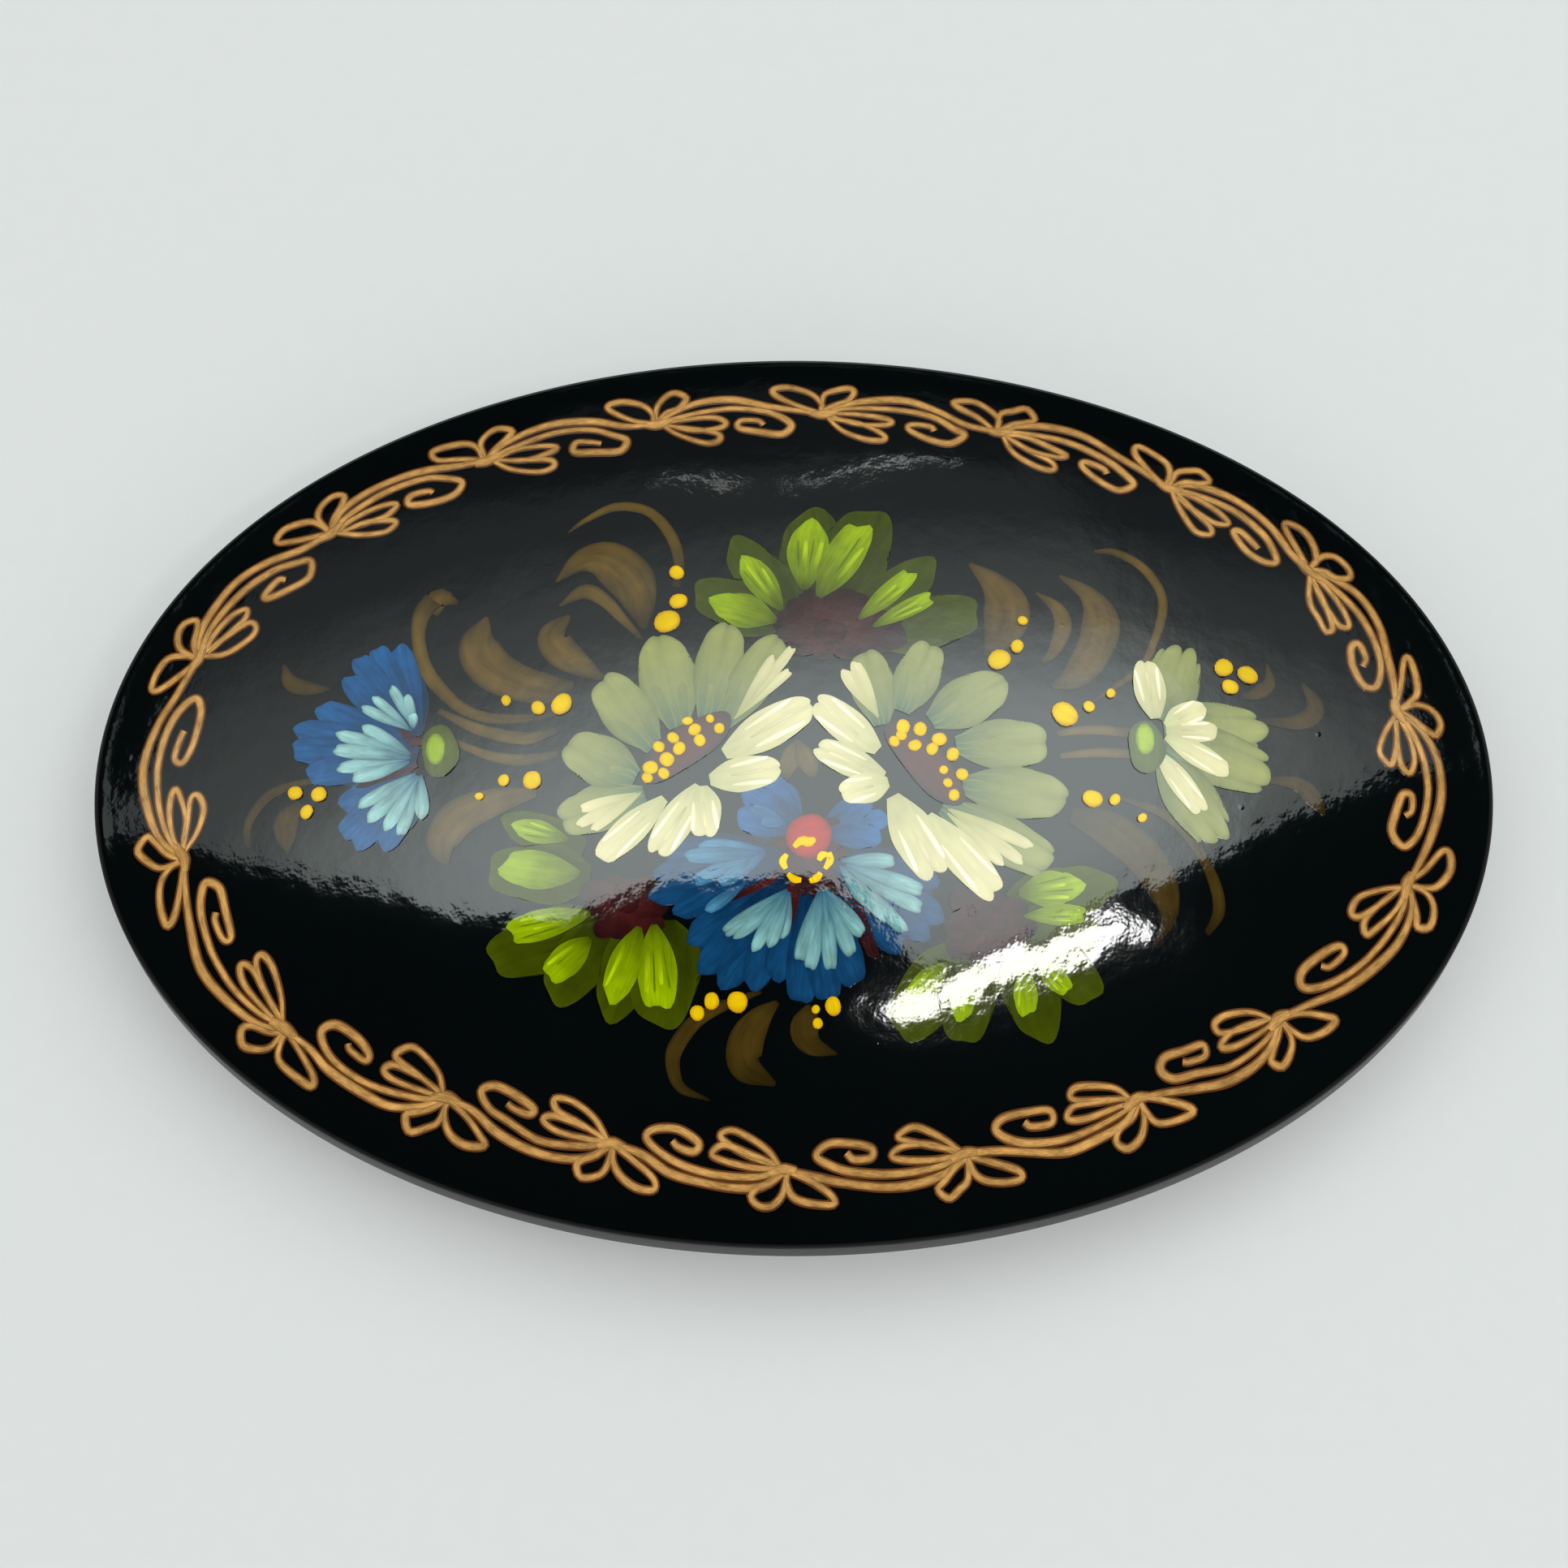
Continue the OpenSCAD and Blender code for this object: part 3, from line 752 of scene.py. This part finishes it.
def fan(layer, base, tips, width, tones, neck=0.16, belly=0.8, relief=0.012, outline=0.28):
    # strokes that start together and part, each narrow at the base and pressed wide at its tip
    base = np.array(base)
    for number, tip in enumerate(tips):
        offset = (np.array(tip) - base) * 0.08 + seed.normal(0, 0.06, 2)
        petal(layer, base + offset, tip, width * seed.uniform(0.92, 1.08), tones, neck=neck, belly=belly,
              bend=seed.uniform(-0.05, 0.05), outline=outline, relief=relief)


for base, tip, width in limePetals:
    petal("LimeStrokes", base, tip, width, limeTones, neck=0.14, belly=0.7, outline=0.3, wobble=0.05)
    base, tip = np.array(base), np.array(tip)
    across = sideOf(base, tip)
    for share, thickness, tones in limeHairs:
        start = base * 0.74 + tip * 0.26 + across * share * width * 0.6
        back = seed.uniform(0.12, 0.3)
        end = base * back + tip * (1 - back) + across * share * width
        petal("LimeStrokes", start, end, width * thickness, tones, neck=0.4, belly=0.6, roundness=2.0,
              outline=0.6)

burgundy = (paint("burgundy"), paint("burgundyDeep"))
burgundyTones = (paint("burgundy"), paint("burgundyDeep"), paint("brownThin", 0.5))
groundFans = [              # (middle, tips, width): short dark strokes thrown out from a cluster's heart
    ((1.8, 6.6), [(-1.0, 7.3), (-.3, 8.2), (.6, 8.9), (1.7, 9.2), (2.7, 9.0), (3.6, 8.6), (4.3, 7.9),
                  (5.3, 7.2), (5.6, 6.3), (4.6, 5.6), (3.0, 5.2), (1.2, 5.1), (-.2, 5.6), (-.9, 6.5)], 1.7),
    ((-8.2, -7.0), [(-10.4, -6.3), (-10.2, -7.2), (-9.6, -8.6), (-8.6, -8.8), (-7.6, -8.8), (-6.4, -8.4),
                    (-6.1, -7.3), (-6.6, -6.1), (-8.0, -5.8), (-9.2, -5.8)], 1.4),
    ((9.6, -7.8), [(7.6, -6.6), (8.6, -6.4), (10.4, -6.6), (11.4, -7.2), (11.8, -8.4), (11.0, -9.6),
                   (9.8, -10.0), (8.6, -9.8), (7.4, -9.4), (7.2, -8.2)], 1.7),
]
for middle, tips, width in groundFans:
    fan("BurgundyPaint", middle, tips, width, burgundyTones, neck=0.5, belly=0.5, relief=0.0)
    heart = burgundy[0] * 0.5 + burgundy[1] * 0.5
    blob("BurgundyPaint", middle, width * 0.5, width * 0.4, 0, heart, burgundy[1], relief=0.02, wobble=0.12)
for centre, longWay, shortWay, turn in (((.9, -5.0), 2.0, 1.6, 0), ((-1.6, -4.5), 1.3, .8, 10)):
    blob("BurgundyPaint", centre, longWay, shortWay, turn, *burgundy, wobble=0.12)

blueTones = (paint("blueDeep"), paint("blue"), paint("blueDeep"))
aquaTones = (paint("aquaDeep"), paint("aqua"), paint("blueDeep"))
skyTones = (paint("blue"), paint("sky"), paint("blue"))
paleAqua = (paint("aquaDeep"), paint("aquaPale"), paint("blueDeep"))
bluePetals = [              # (base, tip, width, lobes)
    ((-18.6, 1.6), (-21.3, 6.5), 3.9, 4), ((-18.5, .6), (-25.0, 1.9), 4.4, 4),
    ((-18.6, -.4), (-21.9, -3.5), 4.0, 4),
    ((.2, -3.4), (-2.6, -1.6), 3.4, 3), ((1.4, -3.6), (4.6, -2.9), 2.8, 3),
    ((-.6, -4.9), (-7.1, -6.3), 4.0, 4), ((-.3, -6.0), (-4.3, -11.0), 4.9, 4),
    ((.9, -6.0), (1.0, -12.0), 4.9, 4), ((1.9, -5.1), (7.0, -8.4), 4.9, 4),
]
brightTones = (paint("blueDeep"), paint("blueBright"), paint("blue"))


def tongues(base, tip, width, count, tones):
    # one petal pressed in several strokes side by side, over a darker bed a little shorter than they are
    base, tip = np.array(base), np.array(tip)
    axis = tip - base
    across = sideOf(base, tip)
    bed = (tones[0], tones[0] * 0.6 + tones[1] * 0.4, tones[0])
    petal("BlueBeds", base, base + axis * 0.88, width * 0.9, bed, neck=0.22, belly=0.72, roundness=0.8)
    for share in np.linspace(-1, 1, count):
        place = share * (1 - 0.9 / count) * width / 2
        end = base + axis * (1 - 0.17 * share ** 2) * seed.uniform(0.95, 1.03) + across * place
        petal("BluePetals", base + across * place * 0.12, end, width / count * 1.4, tones,
              neck=0.25, belly=0.8, roundness=1.0, bend=seed.uniform(-0.02, 0.02), outline=0.45)


for base, tip, width, count in bluePetals:
    tongues(base, tip, width, count, brightTones if base[1] > -4 else blueTones)
gaps = [                    # (base, tip, width) of the burgundy left showing between the petals
    ((-18.3, 1.3), (-20.9, 2.0), .5), ((-18.5, .2), (-21.5, -.8), .5), ((-18.6, .8), (-20.0, 3.4), .35),
    ((.1, -6.0), (-.5, -8.8), .7), ((2.2, -5.8), (4.0, -9.8), .8), ((-.8, -5.9), (-3.2, -7.0), .35),
]
for base, tip, width in gaps:
    petal("BluePetals", base, tip, width, burgundyTones, neck=0.6, belly=0.4, roundness=2.4, outline=0.0)
redHeart = np.array([0.75, -4.8])
for angle in np.arange(150, 420, 22):       # degrees, dark strokes thrown out of the red heart
    out = np.array([math.cos(math.radians(angle)), math.sin(math.radians(angle))])
    petal("BluePetals", redHeart, redHeart + out * seed.uniform(1.9, 2.5), 1.2,
          (*burgundy, paint("blueDeep")), neck=0.5, belly=0.5, roundness=1.6, outline=0.5)
softTones = (paint("blue"), paint("blueSoft"), paint("blueSoft"))
aquaFans = [                # (base, tips, width, tones): thick pale strokes on the blue petals
    ((-18.7, 1.9), [(-21.4, 3.2), (-20.7, 3.9), (-19.9, 4.3), (-19.2, 3.8), (-18.8, 2.9)], .7, paleAqua),
    ((-18.6, .5), [(-21.2, 2.4), (-22.5, 2.2), (-22.7, 1.2), (-22.5, .2), (-21.7, -.5)], .95, paleAqua),
    ((-18.3, -.2), [(-21.4, -1.8), (-20.9, -2.6), (-20.0, -3.1), (-19.2, -3.4), (-18.3, -2.6)], .95,
     paleAqua),
    ((-1.2, -4.6), [(-5.3, -4.9), (-4.6, -4.3), (-4.9, -6.0), (-3.6, -6.3)], 1.0, skyTones),
    ((-2.1, -6.0), [(-4.2, -7.6)], .8, skyTones),
    ((-.15, -6.4), [(-3.4, -8.6), (-2.8, -8.9), (-2.1, -9.35), (-1.3, -9.2), (-.7, -8.8)], .9, aquaTones),
    ((1.4, -6.3), [(.3, -9.9), (.8, -10.3), (1.9, -10.3), (2.9, -9.6), (3.4, -8.6)], 1.0, aquaTones),
    ((2.1, -5.2), [(4.9, -5.0), (6.3, -6.4), (6.2, -7.4), (5.5, -8.4), (4.6, -8.1), (3.65, -7.2)], 1.05,
     aquaTones),
    ((-.3, -3.3), [(-2.0, -2.4), (-1.6, -3.2)], .7, softTones),
]
for base, tips, width, tones in aquaFans:
    fan("AquaStrokes", base, tips, width * 0.78, tones, outline=0.6)

sageTones = (paint("sageDeep"), paint("sage") * 1.08, paint("sageDeep"))
middleSage = paint("sageDeep") * 0.45 + paint("sage") * 0.55
shadeTones = (paint("sageShade"), middleSage, middleSage)
creamTones = (paint("creamDeep"), paint("cream"), paint("creamDeep"))
sagePetals = [              # (base, tip, width, lobes)
    ((-5.6, 1.6), (-6.7, 6.5), 3.2, 2), ((-4.3, 2.0), (-3.2, 7.1), 2.6, 2),
    ((-3.4, 1.7), (-.7, 6.3), 2.5, 2), ((-7.3, -1.7), (-11.5, -3.0), 2.6, 2),
    ((-7.7, -.9), (-11.2, .9), 2.9, 2), ((-6.8, .6), (-9.5, 4.3), 2.9, 2),
    ((4.3, 1.7), (3.5, 5.6), 2.5, 2), ((5.3, 2.4), (6.8, 6.1), 2.5, 2), ((6.7, 1.9), (10.4, 4.2), 2.9, 2),
    ((7.9, .7), (12.5, 1.0), 2.9, 2), ((8.2, -1.3), (13.4, -1.8), 2.9, 2),
    ((7.2, -2.4), (12.6, -5.1), 2.7, 3), ((17.9, 2.5), (19.4, 6.5), 3.2, 4),
    ((18.2, 1.9), (23.4, 2.2), 3.3, 3), ((18.2, 1.5), (23.6, -.2), 3.3, 3),
    ((18.0, .6), (21.0, -3.6), 2.9, 4),
]
for base, tip, width, lobes in sagePetals:
    notch = 0.09 if base[0] > 17 else 0.035      # the flower on the right has the more ragged petals
    petal("SagePetals", base, tip, width * 0.9, sageTones, lobes=lobes, depth=notch, neck=0.3, belly=0.68,
          roundness=0.95, outline=0.65)
    base, tip = np.array(base), np.array(tip)
    across = sideOf(base, tip)
    for share, reach in ((-0.22, 0.45), (0.05, 0.36), (0.27, 0.5)):      # cool shade drawn up from the base
        end = base + (tip - base) * reach + across * share * width * 0.9
        petal("SageShades", base + across * share * width * 0.35, end, width * 0.2, shadeTones,
              neck=0.6, belly=0.4, roundness=2.4, outline=0.8)
ridgeTones = (paint("cream"), paint("creamLight"), paint("cream"))
creamRidges = [(-0.33, 0.84, ridgeTones), (0.02, 0.8, creamTones), (0.35, 0.84, ridgeTones)]
creamPetals = [             # (base, tip, width, lobes)
    ((-3.4, .2), (.9, 2.8), 2.0, 2), ((-4.1, -1.1), (-.6, -.5), 1.8, 2),
    ((-4.6, -1.4), (-6.8, -4.8), 1.7, 2),
    ((-4.5, -1.4), (-4.3, -4.0), 1.8, 2), ((-6.3, -2.0), (-9.5, -4.9), 1.5, 1),
    ((6.5, -2.85), (9.9, -6.7), 1.8, 2), ((4.8, -1.9), (7.0, -5.9), 2.2, 2), ((4.1, .4), (1.0, 3.0), 1.8, 2),
    ((4.4, -.9), (1.0, .6), 1.5, 2), ((4.6, -1.2), (2.2, -1.8), 1.6, 2), ((17.8, 2.5), (17.3, 5.6), 1.6, 2),
    ((18.3, 2.1), (20.3, 3.3), 1.4, 2), ((18.3, 1.9), (20.9, 2.0), 1.2, 0),
    ((18.3, 1.6), (21.4, -.1), 1.2, 0), ((17.9, .7), (20.1, -2.2), 1.2, 2),
]
for base, tip, width, lobes in creamPetals:
    petal("CreamPetals", base, tip, width, creamTones, lobes=lobes, depth=0.06, neck=0.3, belly=0.66,
          outline=0.3, relief=0.015)
    base, tip = np.array(base), np.array(tip)
    across = sideOf(base, tip)
    for share, reach, tones in creamRidges:
        start = base * 0.7 + tip * 0.3 + across * share * width * 0.75
        end = base * (1 - reach) + tip * reach + across * share * width
        petal("CreamRidges", start, end, width * 0.12, tones, neck=0.4, belly=0.6, roundness=2.0,
              outline=0.5, relief=0.01)
creamFans = [               # (base, tips, width): thin cream strokes over the sage petals
    ((-3.2, 1.8), [(-.9, 5.2), (-.3, 4.6), (.1, 5.6)], .5),
    ((-7.4, -1.7), [(-10.4, -2.4), (-10.6, -3.1), (-9.8, -3.5)], .55),
    ((4.2, 1.8), [(2.5, 4.6), (3.0, 5.0)], .8),
    ((7.2, -2.4), [(11.6, -4.2), (11.2, -4.9), (10.2, -5.1)], .6),
]
paleTones = (paint("sage"), paint("cream", 0.44), paint("creamDeep"))
for base, tips, width in creamFans:
    fan("CreamPetals", base, tips, width, paleTones, relief=0.0)

for centre, turn in (((-5.3, .6), 37), ((6.4, -.2), -48)):
    blob("FlowerCentres", centre, 2.7, 1.0, turn, *burgundy, wobble=0.1)
blob("FlowerCentres", (.72, -3.9), 1.15, 1.1, 20, paint("red"), paint("redDeep"), relief=0.03)
for centre, halo in (((-17.6, .9), (-17.4, .8)), ((17.25, 1.4), (17.3, 1.0))):
    blob("FlowerCentres", halo, 1.35, .92, 90, paint("leaf", 0.7), paint("leaf"), wobble=0.1)
    blob("FlowerCentres", centre, .85, .5, 90, paint("lime"), paint("leaf"), relief=0.015)

dots = [                    # (x, y, radius)
    (-4.85, 1.45, .36), (-3.65, 1.5, .3), (-4.6, .9, .34), (-5.9, 1.05, .33), (-6.6, .6, .33),
    (-5.6, .5, .36), (-6.2, -.05, .4), (-7.0, -.45, .38), (-7.15, -.95, .3), (-6.35, -.75, .3),
    (-5.2, 1.9, .26), (-4.1, 2.0, .24), (5.33, 1.6, .4), (6.17, 1.5, .38), (4.9, .85, .3), (5.25, 1.17, .3),
    (5.9, .67, .33), (7.1, 1.0, .4), (6.75, .5, .33), (7.75, .25, .38), (7.3, -.55, .25), (8.2, -.75, .33),
    (7.8, -1.8, .3), (7.5, -1.2, .26), (-5.8, 9.9, .38), (-5.7, 8.3, .42), (-6.25, 7.2, .58),
    (-14.15, 3.25, .24), (-12.55, 2.8, .33), (-11.4, 2.95, .5), (-14.2, -.85, .27), (-12.8, -.9, .45),
    (-15.4, -1.6, .2), (-24.6, -.9, .33), (-23.4, -1.05, .38), (-24, -1.9, .33), (11.3, 7.4, .25),
    (11, 6, .33), (10.1, 5.25, .5), (13.3, 2.5, .6), (14.5, 2.95, .27), (15.6, 3.7, .24), (21.3, 5.4, .47),
    (22.5, 5.1, .47), (21.6, 4.4, .37), (14.6, -1.75, .45), (15.7, -1.75, .27), (17.05, -2.6, .22),
    (-4.7, -12.3, .35), (-4, -11.75, .36), (-2.75, -11.8, .5), (1.9, -12, .4), (1.15, -12.8, .25),
    (1.05, -12.15, .2),
]
for x, y, radius in dots:
    if abs(x) < 9 and abs(y) < 2.2:      # the anthers of the two large flowers are a little smaller
        radius *= 0.9
    blob("YellowTouches", (x, y), radius * seed.uniform(1.0, 1.18), radius * seed.uniform(.9, 1.02),
         seed.uniform(0, 180), paint("yellow"), paint("orange"), relief=0.05 * radius / .4)
redTouch = [(.0, -4.45), (.35, -4.15), (.75, -4.2), (1.05, -4.0)]
ribbon("YellowTouches", redTouch, [.25, .45, .5, .25], paint("yellow"), paint("orange"), 0.8, relief=0.03)
ring = [                    # short strokes round the foot of the red heart
    [(-.35, -4.8), (-.55, -5.15), (-.4, -5.5)], [(-.3, -5.75), (0, -6.0), (.35, -6.05)],
    [(.75, -6.1), (1.1, -5.95), (1.3, -5.7)], [(1.5, -5.5), (1.75, -5.1), (1.7, -4.7)],
    [(1.2, -5.1), (1.35, -4.85), (1.6, -4.8)],
]
for path in ring:
    ribbon("YellowTouches", path, [.22, .38, .24], paint("yellow", 0.55), paint("orange", 0.5), 0.8,
           relief=0.02)

plainSheen = (1, 1, 1)
limeSheen = (1, 1, 0.9)         # the coat looks yellowish over strong greens and yellows
yellowSheen = (1, 0.96, 0.45)
strokeLooks = {             # piece: (coat counted from the ground, fineness, depth, metal, sheen)
    "GoldOutlines": (1, 9.0, 0.3, 0.0, plainSheen),
    "GoldBorder": (2, 17.0, 0.6, 0.2, plainSheen),
    "ScrollPaint": (1, 2.4, 0.42, 0.0, plainSheen),
    "LeafPaint": (2, 2.6, 0.3, 0.0, limeSheen),
    "BurgundyPaint": (3, 2.0, 0.4, 0.0, plainSheen),
    "LimeStrokes": (4, 5.0, 0.34, 0.0, limeSheen),
    "SagePetals": (5, 3.2, 0.11, 0.0, plainSheen),
    "SageShades": (6, 3.2, 0.11, 0.0, plainSheen),
    "BlueBeds": (6, 3.0, 0.26, 0.0, plainSheen),
    "BluePetals": (7, 5.0, 0.42, 0.0, plainSheen),
    "CreamPetals": (8, 3.6, 0.12, 0.0, plainSheen),
    "CreamRidges": (9, 3.6, 0.12, 0.0, plainSheen),
    "AquaStrokes": (9, 6.5, 0.4, 0.0, plainSheen),
    "FlowerCentres": (10, 3.0, 0.25, 0.0, plainSheen),
    "YellowTouches": (11, 4.0, 0.14, 0.0, yellowSheen),
}
for name, (order, *look) in strokeLooks.items():
    material = paintUnderLacquer(name[0].lower() + name[1:] + "Finish", *look)
    piece = drape(name, order, material)
    print("painted", name, "with", len(layers[name]), "strokes,", len(piece.data.polygons), "faces")

def stagePiece(name, grid, material):
    rows, columns = grid.shape[:2]
    piece = finishMesh(name, grid.reshape(-1, 3), gridFaces(rows, columns), material, None)
    return piece


def newGlow(name):
    # an empty material for a piece that only gives light
    material = bpy.data.materials.new(name)
    material.use_nodes = True
    material.node_tree.nodes.clear()
    return material, material.node_tree


def shine(tree, values):
    glow = addNode(tree, "ShaderNodeEmission", values)
    addNode(tree, "ShaderNodeOutputMaterial", {"Surface": glow.outputs[0]})


table = {
    "tone": (0.224, 0.224, 0.223),
    "wander": 0.03,                     # how far the tone goes either way
    "glow": (0.232, 0.240, 0.236),      # painted light: the sheet glows evenly, which keeps the brooch's shadow on it faint
    "reach": 2.0,                       # metres from the middle
}


def makeTable():
    # a wide matt sheet whose tone wanders very slightly
    material, tree, shader = newMaterial("paleTable", {"Roughness": 0.6, "IOR": 1.4})
    tone = np.array(table["tone"])
    mottle = noise(tree, objectPlace(tree), 900.0, 6.0)
    colour = blend(tree, mottle, tone * (1 - table["wander"]), tone * (1 + table["wander"]))
    join(tree, shader, {"Base Color": colour})
    # painted light: an even glow on the sheet that lifts the shadow under the brooch
    shader.inputs["Emission Color"].default_value = (*table["glow"], 1)
    shader.inputs["Emission Strength"].default_value = 1.0
    side = np.linspace(-table["reach"], table["reach"], 9)
    x, y = np.meshgrid(side, side)
    return stagePiece("Table", np.stack([x.T, y.T, 0 * x], -1), material)


ceiling = {                 # metres
    "height": 0.6,
    "nearEdge": [(-0.66, 0.14), (-0.56, 0.09), (-0.47, 0.03), (-0.38, -0.01), (-0.31, -0.055),
                 (-0.25, -0.085), (-0.18, -0.095), (-0.14, -0.06), (-0.10, -0.035), (-0.01, -0.04),
                 (0.04, -0.05), (0.07, -0.10), (0.09, -0.17), (0.13, -0.17), (0.18, -0.13), (0.28, -0.04),
                 (0.36, 0.035), (0.45, 0.13), (0.56, 0.22), (0.66, 0.29)],
    "farEdge": [(-0.66, 1.1), (-0.36, 2.0), (0.0, 2.4), (0.36, 2.1), (0.66, 1.2)],
    "power": 5.5,
    "colour": (0.90, 1.0, 0.98),
    "brightest": (0.07, 0.09),
    "ridge": 0.3,           # the bright part leans away by this share of the way sideways
    "sideways": 0.66,       # falls off slower sideways
    "falls": [(0.12, 0.46, 0.22), (0.42, 0.85, 0.32), (0.9, 1.3, 0.25)],      # (from, to, what is left)
    "flank": (0.29, 0.42, 0.52),      # the same, towards the right side
}


def makeCeiling():
    # a lit sheet overhead whose near border wavers; it is brightest near the brooch and fades in three falls
    material, tree = newGlow("softCeiling")
    place = addNode(tree, "ShaderNodeSeparateXYZ", {"Vector": objectPlace(tree)})
    sideways = mathNode(tree, "SUBTRACT", place.outputs["X"], ceiling["brightest"][0])
    away = mathNode(tree, "SUBTRACT", place.outputs["Y"], ceiling["brightest"][1])
    away = mathNode(tree, "SUBTRACT", away, mathNode(tree, "MULTIPLY", sideways, ceiling["ridge"]))
    sideways = mathNode(tree, "MULTIPLY", sideways, ceiling["sideways"])
    awaySquare = mathNode(tree, "MULTIPLY", away, away)
    sidewaysSquare = mathNode(tree, "MULTIPLY", sideways, sideways)
    reach = mathNode(tree, "SQRT", mathNode(tree, "ADD", awaySquare, sidewaysSquare), 0.0)
    power = ceiling["power"]
    for start, end, left in ceiling["falls"]:
        fall = easeBetween(tree, reach, start, end, 1.0, left, "SMOOTHSTEP")
        power = mathNode(tree, "MULTIPLY", fall, power)
    start, end, left = ceiling["flank"]
    flank = easeBetween(tree, place.outputs["X"], start, end, 1.0, left, "SMOOTHSTEP")
    shine(tree, {"Color": (*ceiling["colour"], 1), "Strength": mathNode(tree, "MULTIPLY", flank, power)})
    edge, back = np.array(ceiling["nearEdge"]), np.array(ceiling["farEdge"])
    x = np.linspace(edge[0, 0], edge[-1, 0], 161)
    near, far = np.interp(x, edge[:, 0], edge[:, 1]), np.interp(x, back[:, 0], back[:, 1])
    share = np.linspace(0, 1, 13)
    y = near[:, None] + (far - near)[:, None] * share
    grid = np.stack([x[:, None] + 0 * y, y, ceiling["height"] + 0 * y], -1)
    stagePiece("Ceiling", grid, material).visible_camera = False


beams = {                   # name: (width, power, path), thin lights under the ceiling's far part
    "BeamLeft": (0.022, 5.0, [(-0.17, 1.03), (-0.13, 1.08), (-0.09, 1.03), (-0.055, 1.02)]),
    "BeamRight": (0.013, 13.0, [(-0.01, 1.01), (0.05, 1.07), (0.12, 1.16), (0.19, 1.235), (0.24, 1.27)]),
}


def makeBeam(name, width, power, path):
    # a narrow lit strip along a smooth path, pointed at both ends
    count = 60
    path = smoothPath(path, count)
    flare = np.sin(np.linspace(0, math.pi, count))[:, None] * width / 2
    grid = np.stack([path + [0, 1] * flare, path - [0, 1] * flare], 1)
    grid = np.concatenate([grid, np.full((count, 2, 1), ceiling["height"] - 0.002)], 2)
    material, tree = newGlow(name + "Light")
    shine(tree, {"Strength": power})
    stagePiece(name, grid, material).visible_camera = False


lamp = {"middle": (0.184, -0.169), "size": (0.258, 0.042), "turn": 39.3, "power": 0.95}


def makeLamp():
    light = bpy.data.lights.new("stripLamp", "AREA")
    light.shape = "RECTANGLE"
    light.size, light.size_y = lamp["size"]
    light.energy = lamp["power"]
    strip = bpy.data.objects.new("StripLamp", light)
    strip.location = (*lamp["middle"], ceiling["height"])
    strip.rotation_euler = (0, 0, math.radians(lamp["turn"]))
    bpy.context.scene.collection.objects.link(strip)


view = {"lens": 119.7, "eye": (-0.000487, -0.06769, 0.25896), "tilt": 15.155}


def makeCamera():
    camera = bpy.data.objects.new("Camera", bpy.data.cameras.new("camera"))
    camera.data.lens = view["lens"]
    camera.data.sensor_width = 36.0
    camera.data.clip_start = 0.01
    camera.location = view["eye"]
    camera.rotation_euler = (math.radians(view["tilt"]), 0, 0)
    bpy.context.scene.collection.objects.link(camera)
    bpy.context.scene.camera = camera


room = {"air": 1.42}        # the dim room fills the shadows and is not seen in the lacquer


def makeRoom():
    world = bpy.data.worlds.new("dimRoom")
    bpy.context.scene.world = world
    world.use_nodes = True
    world.node_tree.nodes["Background"].inputs["Color"].default_value = (room["air"],) * 3 + (1,)
    world.cycles_visibility.glossy = False


makeTable()
makeCeiling()
for name, beam in beams.items():
    makeBeam(name, *beam)
makeLamp()
makeCamera()
makeRoom()
bpy.context.scene.view_settings.view_transform = "Standard"
print("table, ceiling, beams, lamp and camera set")
